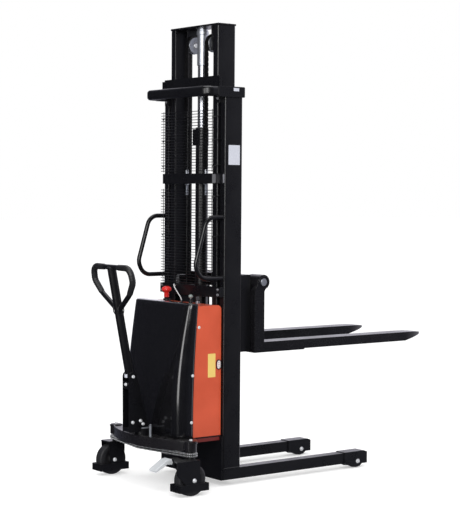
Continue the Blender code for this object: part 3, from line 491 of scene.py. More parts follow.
def make_materials():
    painted("black_paint", (0.0026, 0.0026, 0.0034), 0.28, wear=0.35, dust=0.28)
    painted("fork_paint", (0.003, 0.0028, 0.0036), 0.22, wear=0.5, dust=0.2)
    painted("deck_paint", (0.0065, 0.006, 0.0072), 0.22, wear=0.4, dust=0.3)
    painted("box_paint", (0.42, 0.054, 0.017), 0.38, wear=0.2, dust=0.1, peel=0.08, coat=0.15,
            bare=(0.6, 0.16, 0.08), powder=0.3)
    # A darker copy of the box red: painted shade for the strips in the shadow under the box.
    painted("tray_red_painted_shade", (0.11, 0.008, 0.006), 0.4, wear=0.1, dust=0.1)
    painted("cover_shell", (0.0035, 0.0035, 0.0042), 0.12, wear=0.0, dust=0.1, peel=0.03, coat=0.5)
    painted("pump_body", (0.016, 0.017, 0.019), 0.4)
    metal("pale_zinc", (0.58, 0.6, 0.62), 0.4, matt=0.7)
    metal("zinc", (0.46, 0.48, 0.52), 0.34, matt=0.1)
    metal("bolt_zinc", (0.7, 0.71, 0.73), 0.3, matt=0.5)
    metal("chrome", (0.42, 0.43, 0.46), 0.2, (1.0, 1.0, 0.05), scratches=0.05, stain=0.05, matt=0.08)
    metal("chain_steel", (0.085, 0.083, 0.082), 0.36, stain=0.4)
    metal("roller_steel", (0.3, 0.3, 0.32), 0.3, (0.1, 1.0, 1.0), stain=0.25, matt=0.35)
    moulded("wheel_rubber", (0.012, 0.012, 0.014), 0.5, dust=0.06)
    moulded("load_tread", (0.04, 0.032, 0.03), 0.45, dust=0.06)
    moulded("grip_plastic", (0.0075, 0.0075, 0.0085), 0.42, grain=1500.0, relief=0.3, dust=0.08)
    moulded("hose_black", (0.01, 0.01, 0.01), 0.55, dust=0.06)
    moulded("battery_case", (0.02, 0.021, 0.026), 0.5, dust=0.15)
    moulded("button_red", (0.52, 0.016, 0.013), 0.3, relief=0.04)
    moulded("knob_grey", (0.2, 0.235, 0.225), 0.35, relief=0.05)
    moulded("socket_pale", (0.64, 0.54, 0.53), 0.45, relief=0.05, variation=0.05)
    moulded("cable_grey", (0.52, 0.52, 0.53), 0.5, relief=0.08, variation=0.06)
    # Pale sticker colour, also used for a painted highlight at the tiller pivot.
    moulded("label_white_and_highlight", (0.4, 0.41, 0.46), 0.42, relief=0.03, variation=0.03)
    moulded("label_yellow", (0.56, 0.4, 0.105), 0.42, relief=0.03, variation=0.04)


# ---------------------------------------------------------------- mast

def label(name, x, y, z, finish, radius):
    """A thin blank sticker on a face that looks along +X."""
    add_piece(name, "chassis", prism(rounded(y, z, radius), 0, x, x + 0.0005), finish)


def build_outer_mast():
    for name in ("outer_rail_left", "outer_rail_right"):
        carry_over(name, edge=0.003)
    for name in ("outer_top_plate", "mid_cross_plate", "lower_cross_plate"):
        carry_over(name)
    rail = node_box("outer_rail_right")[1].x
    build_guard_bar(rail)

    lower = node_size("lower_cross_plate")[0].z
    nuts = []
    for name, x, levels in (("outer_top_plate", 0.225, (1.955, 1.99)),
                            ("lower_cross_plate", 0.245, (lower - 0.013, lower + 0.013))):
        face = node_box(name)[0].y + 0.0005
        nuts += [((side * x, face, z), -FORWARD) for side in (-1, 1) for z in levels]
    low, high = node_box("mid_cross_plate")
    faces = []
    for side in (-1, 1):
        for x, y in ((0.2052, (-0.035, -0.013)), (0.2622, (-0.011, -0.001))):
            outline = rounded(y, (low.z + 0.004, high.z - 0.004), 0.0015)
            faces.append(prism(outline, 0, *sorted((side * x, side * (x + 0.0006)))))
    add_piece("cut_faces", "chassis", faces, "roller_steel")
    add_heads("mast_bolts", "chassis", hex_head(0.01, 0.0045), nuts, "roller_steel")

    label("mast_label", rail, (0.021, 0.0925), (1.623, 1.722), "label_white_and_highlight", 0.003)
    beads = []
    for side in (-1, 1):
        beads.append(weld([(side * (rail + 0.0005), y, 0.0885) for y in (0.004, 0.106)], 0.0035))
        beads.append(weld([(side * x, -0.0012, 1.934) for x in (0.238, 0.212)], 0.0025))
    add_piece("mast_welds", "chassis", beads)


def build_guard_bar(rail):
    """A bent, flattened tube between two plates that are welded to the rails' sides."""
    low, high = node_box("guard_bar")
    level = (low.z + high.z) / 2.0
    wide, tall = 0.017, 0.026
    side_x, front, rear = 0.2575, -0.003, low.y + wide
    corners = [(-side_x, front, level), (-side_x, rear, level), (side_x, rear, level),
               (side_x, front, level)]
    section = rounded((-wide, wide), (-tall, tall), 0.0163, 9)
    shapes = [swept(fillet(corners, 0.034, 12), section)]
    plate = rounded((-0.05, high.y), (low.z, high.z), 0.006)
    for side in (-1, 1):
        shapes.append(prism(plate, 0, *sorted((side * (rail + 0.0003), side * high.x))))
    add_piece("guard_rail", "chassis", shapes, replaces=["guard_bar"], edge=0.0009)
    label("guard_label", high.x, (0.044, 0.078), (level + 0.004, level + 0.02), "label_white_and_highlight", 0.0015)


def build_mesh_guard(name, first, count):
    """A welded panel: level wires in front of three upright wires. Gives the wires' levels."""
    pitch, thick = 0.0144, 0.0035
    low, high = node_box(name)
    radius = thick / 2.0
    front = low.y + radius
    bar = turned([(0.0, low.x), (radius * 0.7, low.x), (radius, low.x + 0.0008),
                  (radius, high.x - 0.0008), (radius * 0.7, high.x), (0.0, high.x)], axis=0, steps=10)
    levels = [first + pitch * index for index in range(count)]
    shapes = [copies(bar, [(0.0, front, z) for z in levels])]
    for x in (-GUARD_POST, 0.0, GUARD_POST):
        post = [(x, front + thick * 0.9, z) for z in (levels[0] - 0.006, levels[-1] + 0.006)]
        shapes.append(swept(post, circle(radius, 10), FORWARD))
    add_piece(name + "_wires", "chassis", shapes, replaces=[name])
    return levels


def build_mesh_guards():
    """Both panels, and the bent wire clips that hold their sides to the mast."""
    panels = (build_mesh_guard("mesh_guard_lower", 1.02, 34),
              build_mesh_guard("mesh_guard_upper", 1.593, 22))
    clips = []
    for levels in panels:
        for z in (levels[2], levels[len(levels) // 2], levels[-3]):
            for side in (-1, 1):
                bends = ((0.0, -0.0425, -0.007), (0.012, -0.04, -0.004), (0.022, -0.02, 0.0),
                         (0.026, -0.0015, 0.003))
                route = [(side * (GUARD_POST + out), y, z + up) for out, y, up in bends]
                clips.append(swept(spline(route), circle(0.0022, 10)))
    add_piece("guard_clips", "chassis", clips)


def build_grab_handles():
    rail = 0.0003
    upper, lower = HANDLE_FEET
    for side, which in SIDES:
        name = "grab_handle_" + which
        x = side * 0.252
        route = [(x, -rail, upper), (x, -0.1, upper), (x, -0.172, 1.12), (x, -0.14, lower),
                 (x, -rail, lower)]
        shapes = [swept(fillet(route, 0.065, 14), circle(0.0115, 24), RIGHT)]
        for z in HANDLE_FEET:
            around = [(a, -0.0016, b) for a, b in arc((x, z), 0.0125, 0, 360, 24)]
            shapes.append(weld(around, 0.0022))
        add_piece(name + "_bar", "chassis", shapes, replaces=[name])


def build_cylinder():
    low, high = node_box("cylinder_barrel")
    y = (low.y + high.y) / 2.0
    radius = high.x
    axis = (0.0, y, 0.0)
    groove = radius - 0.0008
    profile = [(0.0, low.z), (radius * 0.9, low.z), (radius, low.z + 0.003), (radius, high.z - 0.03),
               (groove, high.z - 0.029), (groove, high.z - 0.027), (radius, high.z - 0.026),
               (radius, high.z), (0.0, high.z)]
    port = turned([(0.0, -0.002), (0.009, -0.002), (0.009, 0.006), (0.0, 0.006)], steps=24)
    port = merged([port], [facing((0.0, y - radius + 0.001, low.z + 0.12), -FORWARD)])
    add_piece("cylinder_tube", "chassis", [turned(profile, axis), port], replaces=["cylinder_barrel"])

    carry_over("cylinder_head", edge=0.003)
    seal = [(0.0245, 0.0), (0.0325, 0.0), (0.0325, 0.005), (0.0305, 0.008), (0.0245, 0.008)]
    head_top = node_box("cylinder_head")[1].z
    add_piece("rod_wiper", "chassis", turned(seal, (0.0, y, head_top)), "grip_plastic")

    low, high = node_box("lift_rod")
    thin, joint = 0.0235, 2.135
    rod = [(0.0, low.z), (thin - 0.001, low.z), (thin, low.z + 0.001), (thin, joint), (0.0, joint)]
    add_piece("cylinder_rod", "inner_mast", turned(rod, axis), "chrome", ["lift_rod"])
    thick = high.x
    sleeve = [(0.0, 2.1352), (thick - 0.001, 2.1352), (thick, 2.1364), (thick, 2.292),
              (thick + 0.004, 2.2935), (thick + 0.004, 2.31), (thick, 2.3115), (thick, high.z),
              (0.0, high.z)]
    add_piece("rod_sleeve", "inner_mast", turned(sleeve, axis), "zinc")


def build_inner_mast():
    for name in ("inner_rail_left", "inner_rail_right"):
        carry_over(name, edge=0.0028)
    carry_over("inner_lower_plate", edge=0.0009)
    carry_over("inner_top_plate", edge=0.001)
    low, high = node_box("inner_top_plate")
    nuts = [((side * 0.184, y, high.z - 0.0012), UP) for side in (-1, 1) for y in (0.02, 0.088)]
    add_heads("top_plate_bolts", "inner_mast", hex_head(0.01, 0.004), nuts)
    _, y, z = node_size("chain_wheel_right")[0]
    pins = [((side * 0.111, y, z), RIGHT * side) for side in (-1, 1)]
    add_heads("wheel_pins", "inner_mast", hex_head(0.019, 0.007), pins)
    under_plate = 2.3252
    beads = []
    for side, inside in ((-1, low.x + 0.006), (1, high.x - 0.006)):
        beads.append(weld([(inside, y, under_plate) for y in (0.004, 0.104)], 0.0022))
        beads.append(weld([(side * 0.1118, y, under_plate) for y in (0.034, 0.09)], 0.0024))
    add_piece("inner_mast_welds", "inner_mast", beads)


# ---------------------------------------------------------------- chains

def leaf_chain(path):
    """A leaf chain whose pins stand on the points of a path in the YZ plane."""
    width, half = 0.0236, 0.0047
    path = [Vector(point) for point in path]
    outline = arc((0.0, 0.0), half, 180, 360, 6)
    outline += arc((0.0, (path[1] - path[0]).length), half, 0, 180, 6)
    count = 8
    plate = width / count
    links = ([], [])
    for index in range(count):
        left = plate * index - width / 2.0 + 0.00015
        links[index % 2].append(prism(outline, 0, left, left + plate - 0.0003))
    places = ([], [])
    for index, (start, end) in enumerate(zip(path, path[1:])):
        angle = math.atan2(start.y - end.y, end.z - start.z)
        places[index % 2].append(Matrix.Translation(start) @ Matrix.Rotation(angle, 4, "X"))
    shapes = [merged([merged(plates)], where) for plates, where in zip(links, places)]
    end = width / 2.0 + 0.0007
    pin = turned([(0.0, -end), (half * 0.42, -end), (half * 0.42, end), (0.0, end)], axis=0, steps=10)
    return merged(shapes + [copies(pin, path)])


def build_chains():
    """The four straight falls, drawn at one length, and the wraps over the wheels."""
    middle = node_size("chain_wheel_right")[0]
    falls = (("chain_rear_", -CHAIN_RADIUS, 0.006, ("chassis", "inner_mast")),
             ("chain_front_", CHAIN_RADIUS, 0.004, ("inner_mast", "carriage")))
    for side, which in SIDES:
        x = side * middle.x
        for name, offset, gap, bodies in falls:
            node = name + which
            low, high = node_box(node)
            y = middle.y + offset
            bottom = low.z + gap
            count = round((high.z - bottom) / CHAIN_PITCH)
            step = (high.z - bottom) / count
            path = [(x, y, bottom + step * index) for index in range(count + 1)]
            piece = add_piece(node + "_links", None, leaf_chain(path), "chain_steel", [node])
            ends = [Vector((x, y + FACE, z)) for z in (bottom, high.z)]
            if offset > 0:
                ends.reverse()
            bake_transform(piece)
        wrap = leaf_chain([(x, y, z) for y, z in arc(middle.yz, CHAIN_RADIUS, 180, 0, 11)])
        add_piece("chain_wrap_" + which, "inner_mast", wrap, "chain_steel")


def build_chain_wheels():
    for _, which in SIDES:
        name = "chain_wheel_" + which
        centre, size = node_size(name)
        flange, half = size.z, size.x
        section = both_ways(half, (0.0185, 0.001), (0.02, 0.0006), (0.0212, 0.003), (0.03, 0.003),
                            (0.0312, 0.0), (flange - 0.0006, 0.0), (flange, 0.0006),
                            (flange - 0.0002, 0.0011), (flange - 0.003, 0.0013))
        add_piece(name + "_sheave", name, wheel(section, centre), "zinc", [name])
        race = both_ways(half, (0.0105, 0.002), (0.0135, 0.0014), (0.014, 0.0026), (0.016, 0.0026),
                         (0.0164, 0.0014), (0.0183, 0.0014))
        add_piece(name + "_bearing", name, wheel(race, centre), "roller_steel")
        cap = both_ways(half + 0.001, (0.0, 0.0), (0.0105, 0.0), (0.012, 0.0014))
        add_piece(name + "_cap", name, turned(cap, centre, 0), "bolt_zinc")


def build_chain_anchors():
    """Threaded rods with two nuts and a thin nut, hung in the middle cross member."""
    pitch, radius, thread_top = 0.0015, 0.007, 1.5785
    root = radius - 0.0008
    for _, which in SIDES:
        name = "chain_anchor_" + which
        low, high = node_box(name)
        x, y = (low.x + high.x) / 2.0, (low.y + high.y) / 2.0
        thread = [(0.0, low.z), (root, low.z)]
        z = low.z + 0.0006
        while z < thread_top:
            thread += [(root, z), (radius, z + pitch / 2.0)]
            z += pitch
        thread += [(root, z), (root, 1.579), (0.0092, 1.58), (0.0092, high.z - 0.0006),
                   (0.0086, high.z), (0.0, high.z)]
        shapes = [turned(thread, (x, y, 0.0), steps=32)]
        nuts = [facing((x, y, 1.5607), UP), facing((x, y, 1.5454), -UP)]
        shapes.append(merged([hex_head(0.02, 0.013)], nuts))
        shapes.append(merged([hex_head(0.02, 0.007)], [facing((x, y, 1.5305), -UP)]))
        add_piece(name + "_rod", "chassis", shapes, "zinc", [name])


def build_rollers():
    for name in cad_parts:
        if "_roller_" in name:
            centre, size = node_size(name)
            radius, half = size.z, size.x
            section = both_ways(half, (0.0125, 0.0), (0.019, 0.0), (0.0195, 0.0008), (0.0215, 0.0008),
                                (0.022, 0.0018), (0.03, 0.0018), (0.0306, 0.0006), (0.033, 0.0),
                                (radius - 0.0022, 0.0), (radius - 0.0006, 0.0009), (radius, 0.0026))
            add_piece(name + "_race", name, wheel(section, centre), "roller_steel", [name])


# ---------------------------------------------------------------- carriage and forks

def build_carriage():
    carry_over("carriage_frame", edge=0.001)
    rear = 0.132
    high_bar, low_bar = (1.000, 1.066), (0.673, 0.739)
    beads = []
    for side in (-1, 1):
        for bottom, top in (high_bar, low_bar):
            for x in (side * 0.1558, side * 0.1422):
                beads.append(weld([(x, rear - 0.0008, z) for z in (bottom + 0.004, top - 0.016)], 0.0026))
        for level in (high_bar[0], low_bar[1]):
            beads.append(weld([(side * 0.2362, y, level) for y in (rear + 0.004, 0.176)], 0.0022))
    add_piece("carriage_welds", "carriage", beads)
    chain_x = node_size("chain_wheel_right")[0].x
    ends = [((side * chain_x, 0.108, 0.9455), -UP) for side in (-1, 1)]
    add_heads("chain_end_nuts", "carriage", hex_head(0.019, 0.011), ends)

    (_, y, z), size = node_size("fork_shaft")
    radius, half = size.z, size.x
    profile = both_ways(half, (0.0, 0.0), (radius - 0.006, 0.0), (radius - 0.0055, 0.0006),
                        (radius - 0.002, 0.0006), (radius, 0.0026), (radius, 0.01))
    add_piece("fork_bar", "carriage", turned(profile, (0.0, y, z), 0), "zinc", ["fork_shaft"])
    section = both_ways(0.0065, (radius + 0.0004, 0.0), (radius + 0.0065, 0.0), (radius + 0.0075, 0.001))
    collars = [wheel(section, (x, y, z)) for x in (-0.028, 0.028)]
    add_piece("fork_collars", "carriage", collars, "zinc")


def build_forks():
    shaft = node_size("fork_shaft")[0]
    for name in ("fork_left", "fork_right"):
        carry_over(name, "fork_paint", 0.0016)
        low, high = node_box(name)
        rings = []
        for x, out in ((low.x, -1), (high.x, 1)):
            section = [(0.0206, 0.0), (0.03, 0.0), (0.03, out * 0.001), (0.0294, out * 0.0016),
                       (0.0206, out * 0.0016)]
            rings.append(wheel(section, (x, shaft.y, shaft.z)))
        add_piece(name + "_bushes", name, rings, "fork_paint")
        seam = [(x, 0.516, 0.672) for x in (low.x + 0.004, high.x - 0.004)]
        add_piece(name + "_seam", name, weld(seam, 0.0026), "fork_paint")


# ---------------------------------------------------------------- chassis

def build_legs():
    bolts = []
    beads = []
    for side, which in SIDES:
        carry_over("leg_" + which, edge=0.0014)
        low, high = node_box("leg_" + which)
        inner, outer = sorted((side * low.x, side * high.x))
        axle = node_size("load_wheel_" + which)[0]
        for x, way in ((outer, side), (inner, -side)):
            bolts.append(((side * x, axle.y - 0.006, axle.z), RIGHT * way))
        beads.append(weld([(side * (outer - 0.0045), 0.8155, z) for z in (0.034, 0.086)], 0.0024))
        beads.append(weld([(side * x, 0.8155, 0.088) for x in (inner + 0.006, outer - 0.006)], 0.0024))
    add_heads("axle_bolts", "chassis", hex_head(0.017, 0.0065), bolts)
    add_piece("leg_welds", "chassis", beads)

    for _, which in SIDES:
        name = "load_wheel_" + which
        centre, size = node_size(name)
        radius, half = size.z, size.x
        tread = both_ways(half, (0.0262, 0.005), (radius - 0.004, 0.005), (radius - 0.0012, 0.0062),
                          (radius, 0.009))
        add_piece(name + "_tread", name, wheel(tread, centre), "load_tread", [name])
        hub = both_ways(half, (0.008, 0.0004), (0.0125, 0.0), (0.013, 0.004), (0.02, 0.004),
                        (0.0206, 0.0028), (0.0261, 0.0036))
        add_piece(name + "_hub", name, wheel(hub, centre), "roller_steel")


def build_chassis():
    carry_over("chassis_panel")
    carry_over("base_plate", "deck_paint", 0.0014)
    carry_over("steering_chain", "chain_steel", 0.0)
    rim_radius = 0.6095
    half_angle = math.degrees(math.asin(0.326 / 0.6135))
    rim = arc((0.0, 0.245), rim_radius, -90 - half_angle, -90 + half_angle, 48)
    rim = [(x, y, DECK_TOP + 0.001) for x, y in rim]
    add_piece("deck_rim", "chassis", swept(rim, circle(0.004, 12)), "deck_paint")

    side = node_box("power_box")[1].x
    # Dark red strips low on the box's sides: painted shade where the box meets the deck.
    painted_shade_trays = [box(sorted((edge * (side - 0.003), edge * side)), (-0.168, -0.0125), (0.235, 0.2538))
             for edge in (-1, 1)]
    add_piece("tray_flanges_painted_shade", "chassis", painted_shade_trays, "tray_red_painted_shade", edge=0.0008)

    foot = (0.105, -0.335, DECK_TOP)
    cap = [(0.0, 0.0595), (0.0058, 0.0595), (0.0068, 0.0605), (0.0068, 0.0635), (0.0058, 0.0645),
           (0.0, 0.0645)]
    sleeve = [(0.0, 0.0), (0.0062, 0.001), (0.0072, 0.001), (0.0072, 0.057), (0.0062, 0.058),
              (0.0, 0.058)]
    shapes = [turned(profile, foot, steps=32) for profile in (cap, sleeve)]
    add_piece("stop_pin", "chassis", shapes, "zinc")

    cover = [(0.0, 0.2641), (0.029, 0.2641), (0.0298, 0.265), (0.027, 0.2662), (0.0, 0.2664)]
    swivels = [(side * SWIVEL[0], SWIVEL[1]) for side in (-1, 1)]
    caps = [turned(cover, (x, y, 0.0)) for x, y in swivels]
    add_piece("swivel_caps", "chassis", caps, "deck_paint")
    tops = [((x, y, 0.2664), UP) for x, y in swivels]
    add_heads("swivel_bolts", "chassis", hex_head(0.013, 0.005), tops)


def build_steering_links():
    """Pins of the steering chain under the deck, seen as rows of bright dots."""
    low, high = node_box("steering_chain")
    loop = high.y - SWIVEL[1] - 0.0028
    rise = math.degrees(math.atan2(SWIVEL[1] - STEER_AXIS[1], SWIVEL[0]))
    spots = []
    for radius, levels in ((loop, (low.z - 0.0006, high.z + 0.0006)),
                           (loop + 0.003, (low.z + 0.003, high.z - 0.003))):
        route = arc(STEER_AXIS, radius, -90, -90 + rise, 2) + arc(SWIVEL, radius, -90 + rise, 90, 12)
        if radius == loop:
            route.append((0.0, SWIVEL[1] + radius))
        for x, y, _ in resampled([(x, y, 0.0) for x, y in route], 0.0095):
            spots += [(side * x, y, level) for level in levels for side in (1, -1)]
    pin = turned([(0.0, -0.0016), (0.0019, -0.0016), (0.0019, 0.0016), (0.0, 0.0016)], steps=10)
    add_piece("steering_chain_pins", "chassis", copies(pin, spots), "bolt_zinc")


def leaning(z, top, drop, edge, reach):
    """Y at a height, on a curve that falls back from an edge at the top over a drop."""
    fall = min(1.0, max(0.0, (top - z) / drop))
    return edge - reach * math.sin(math.pi / 2 * fall)


def cover_rear(z, top):
    """Y of the cover's rear face: nearly upright below, leaning forward towards the top."""
    return leaning(z, top, 0.52, -0.2, 0.066)


def cover_edge(z, top):
    """Y of the joint between the cover and the power box."""
    return leaning(z, top, 0.6, -0.152, 0.028)


def build_cover():
    low, high = node_box("rear_cover")
    top = high.z
    lip = 0.01
    rise = top - lip - low.z
    levels = [(low.z + rise * step / 40, 0.0) for step in range(41)]
    for step in range(1, 7):
        turn = math.radians(15.0 * step)
        levels.append((top - lip + lip * math.sin(turn), lip * (1.0 - math.cos(turn))))
    rings = []
    for z, inset in levels:
        joint = cover_edge(z, top)
        depth = joint - cover_rear(z, top)
        rear = joint - depth + inset
        side = high.x - inset
        bend = max(0.75 * depth - inset, 0.005)
        front = joint - 0.0003
        halfway = (front + rear + bend) / 2.0
        ring = [(side, front), (side, halfway)]
        ring += arc((side - bend, rear + bend), bend, 0, -90, 14)
        ring += arc((bend - side, rear + bend), bend, -90, -180, 14)
        ring += [(-side, halfway), (-side, front)]
        rings.append([(x, y, z) for x, y in ring])
    shell = skin(rings, start=False, wrap=False)
    cover = add_piece("cover_shell", "chassis", shell, "cover_shell", ["rear_cover"])
    modify(cover, "SOLIDIFY", thickness=0.0035, offset=-1.0)


def build_power_box():
    """The box as a folded sheet: its outline hollowed by a smaller one, open towards the cover."""
    low, high = node_box("power_box")
    half, front, top = high.x, high.y, high.z
    corner, wall = 0.022, 0.003

    def outline(inset, overrun):
        radius = corner - inset
        points = [(front - inset, low.z - overrun)]
        points += arc((front - corner, top - corner), radius, 0, 90, 14)
        levels = [top - inset] + [top - 0.03 * step for step in range(1, 22)] + [low.z - overrun]
        return points + [(cover_edge(z, top + 0.012) - overrun, z) for z in levels]

    solid = prism(outline(0.0, 0.0), 0, -half, half)
    shell = add_piece("box_shell", "chassis", solid, "box_paint", ["power_box"], edge=0.0022)
    inside = add_piece("box_inside", "chassis", prism(outline(wall, 0.02), 0, wall - half, half - wall),
                       "box_paint")
    modify(shell, "BOOLEAN", operation="DIFFERENCE", object=inside)
    bpy.context.view_layer.update()
    made = shell.evaluated_get(bpy.context.evaluated_depsgraph_get())
    mesh = bpy.data.meshes.new_from_object(made)
    shell.modifiers.clear()
    shell.data = mesh
    bpy.data.objects.remove(inside)

    screws = []
    for side in (-1, 1):
        screws.append(((side * half, cover_edge(0.812, top) + 0.016, 0.812), RIGHT * side))
        for z in (0.573, 0.339):
            screws.append(((side * (half + 0.0034), cover_edge(z, top) - 0.01, z), RIGHT * side))
    add_heads("box_screws", "chassis", socket_head(0.0078, 0.004), screws, "pale_zinc")
    label("box_label", half, (-0.088, -0.041), (0.557, 0.676), "label_yellow", 0.002)


def build_charge_socket():
    low, high = node_box("charge_socket")
    middle, size = node_size("charge_socket")
    radius = size.y
    reach = size.z - radius

    def outline(size):
        points = arc((middle.y, middle.z - reach), size, 180, 360, 16)
        return points + arc((middle.y, middle.z + reach), size, 0, 180, 16)

    steps = ((0.0, low.x), (0.0, high.x - 0.0012), (0.001, high.x), (0.0035, high.x),
             (0.0042, high.x - 0.0012), (0.0046, low.x), (0.0, low.x))
    rim = [[(x, y, z) for y, z in outline(radius - inset)] for inset, x in steps]
    add_piece("socket_rim", "chassis", skin(rim, start=False, end=False), "grip_plastic",
              ["charge_socket"])
    face = high.x - 0.003
    add_piece("socket_face", "chassis", prism(outline(radius - 0.0047), 0, low.x, face), "socket_pale")
    pin = turned([(0.0, 0.0), (0.0028, 0.0), (0.0028, 0.0022), (0.002, 0.003), (0.0, 0.003)], steps=20)
    places = [((face, middle.y, middle.z + up), RIGHT) for up in (-0.011, 0.0, 0.011)]
    add_heads("socket_contacts", "chassis", pin, places, "zinc")


def build_power_pack():
    """What the box holds: battery, pump and the hose between the pump and the deck."""
    carry_over("battery", "battery_case", 0.004)
    carry_over("pump_unit", "pump_body", 0.0015)
    pump = node_size("pump_unit")[0]
    elbow = (0.16, pump.y, 0.75)
    route = [(pump.x + 0.0553, pump.y, 0.75), elbow, (0.16, -0.05, DECK_TOP + 0.0015)]
    hose = swept(fillet(route, 0.05, 10), circle(0.008, 20), FORWARD)
    add_piece("pump_hose", "chassis", hose, "hose_black", ["hydraulic_hose"])


def build_switches():
    foot, _ = node_foot("stop_button")
    radius = node_size("stop_button")[1].x
    neck = radius * 0.52
    profile = [(0.0, 0.0), (neck, 0.0), (neck, 0.024), (neck + 0.002, 0.027), (radius - 0.0025, 0.033),
               (radius - 0.0008, 0.035), (radius, 0.0385), (radius - 0.0006, 0.043),
               (radius - 0.0035, 0.049), (radius - 0.009, 0.0535), (radius - 0.016, 0.0562),
               (0.0, 0.057)]
    add_piece("stop_mushroom", "stop_button", turned(profile, foot), "button_red", ["stop_button"])

    foot, height = node_foot("stop_switch_base")
    radius = node_size("stop_switch_base")[1].x
    profile = [(0.0, 0.0), (radius, 0.0), (radius, 0.006), (radius - 0.0012, 0.0072),
               (0.0178, 0.0072), (0.0178, height - 0.001), (0.0168, height), (0.0, height)]
    add_piece("stop_collar", "chassis", turned(profile, foot), "grip_plastic", ["stop_switch_base"])

    foot, height = node_foot("key_switch")
    profile = [(0.0, 0.0), (0.012, 0.0), (0.012, 0.004), (0.0098, 0.0046), (0.0098, 0.0118),
               (0.0088, 0.0128), (0.003, 0.0128), (0.0026, 0.012), (0.0, 0.012)]
    bow = rounded((-0.0095, 0.0095), (0.017, height), 0.006, 6)
    blade = box((-0.0011, 0.0011), (-0.0032, 0.0032), (0.0118, 0.0175))
    key = merged([turned(profile), prism(bow, 0, -0.0012, 0.0012), blade], [Matrix.Translation(foot)])
    add_piece("key_and_barrel", "key_switch", key, "zinc", ["key_switch"])


def build_lever():
    foot, _ = node_foot("lift_lever")
    pivot = Vector((foot.x, foot.y, 0.928))
    boot = [(0.0, -0.0094), (0.0088, -0.0075), (0.0094, 0.0), (0.008, 0.006), (0.0062, 0.0085),
            (0.0066, 0.0105), (0.0048, 0.0125), (0.0036, 0.015), (0.0, 0.015)]
    add_piece("lever_boot", "lift_lever", turned(boot, pivot, steps=32), "grip_plastic")
    top = node_box("lift_lever")[1].z - pivot.z
    stem = turned([(0.0, 0.0), (0.0032, 0.0), (0.0032, top - 0.012), (0.0, top - 0.012)], pivot, steps=24)
    add_piece("lever_stem", "lift_lever", stem, "zinc")
    wide, tall = 0.0118, 0.0095
    knob = [(wide * x, top - tall + tall * up) for x, up in arc((0.0, 0.0), 1.0, -75, 75, 10)]
    knob = [(0.0, knob[0][1])] + knob + [(0.0, top)]
    add_piece("lever_knob", "lift_lever", turned(knob, pivot), "knob_grey", ["lift_lever"])


def build_signal_lead():
    """The lead from the lower cross member to the box, at its full length."""
    route = [(-0.118, -0.029, 0.996), (-0.117, -0.0375, 1.006), (-0.108, -0.046, 1.003),
             (-0.092, -0.052, 0.99), (-0.06, -0.058, 0.969), (-0.03, -0.062, 0.948),
             (-0.018, -0.062, 0.934), (-0.016, -0.062, 0.919)]
    route = spline(route)
    lead = add_piece("signal_lead", "chassis", swept(route, circle(0.0025, 14)), "cable_grey",
                     ["signal_cable"])
    gland = [(0.0, 0.9183), (0.0065, 0.9183), (0.0065, 0.9215), (0.005, 0.9225), (0.0032, 0.929),
             (0.0, 0.929)]
    add_piece("cable_gland", "chassis", turned(gland, (-0.016, -0.062, 0.0), steps=24), "grip_plastic")


# ---------------------------------------------------------------- steering

def build_casters():
    for _, which in SIDES:
        fork, name = "steer_fork_" + which, "steer_wheel_" + which
        carry_over(fork)
        centre, size = node_size(name)
        tyre = both_ways(0.025, (0.052, 0.0025), (0.056, 0.001), (0.07, 0.0), (0.0755, 0.0004),
                         (0.0784, 0.0028), (0.0797, 0.008), (size.z, 0.015))
        add_piece(name + "_tyre", name, wheel(tyre, centre, 96), "wheel_rubber", [name])
        hub = both_ways(0.03, (0.0085, 0.0), (0.0125, 0.0), (0.013, 0.002), (0.019, 0.002),
                        (0.0195, 0.0002), (0.024, 0.0002), (0.0262, 0.003), (0.028, 0.015),
                        (0.044, 0.015), (0.047, 0.0085), (0.0519, 0.0078))
        add_piece(name + "_hub", name, wheel(hub, centre), "grip_plastic")
        axle = both_ways(0.04, (0.0, 0.0), (0.0075, 0.0), (0.008, 0.0005))
        add_piece(name + "_axle", name, turned(axle, centre, 0, 32), "roller_steel")
        ends = [(centre + RIGHT * (edge * 0.0386), RIGHT * edge) for edge in (-1, 1)]
        add_heads(fork + "_axle_nuts", fork, hex_head(0.015, 0.0065), ends)


def build_brake():
    carry_over("brake_pedal", "pale_zinc", 0.0015)
    low, high = node_box("brake_pedal")
    margin, count = 0.009, 5
    ribs = []
    for index in range(count):
        x = low.x + margin + index * (high.x - low.x - 2.0 * margin) / (count - 1)
        line = [(x, low.y + 0.012, 0.1352), (x, low.y + 0.066, 0.1708)]
        ribs.append(swept(line, circle(0.0014, 8), RIGHT))
    add_piece("brake_pedal_ribs", "brake_pedal", ribs, "pale_zinc")


def on_tiller(distance, side=0.0, forward=0.0):
    """A point at a distance along the leaning tiller from its pivot."""
    lean = math.radians(11.5)
    y = forward * math.cos(lean) - distance * math.sin(lean)
    z = distance * math.cos(lean) + forward * math.sin(lean)
    return TILLER_PIVOT + Vector((side, y, z))


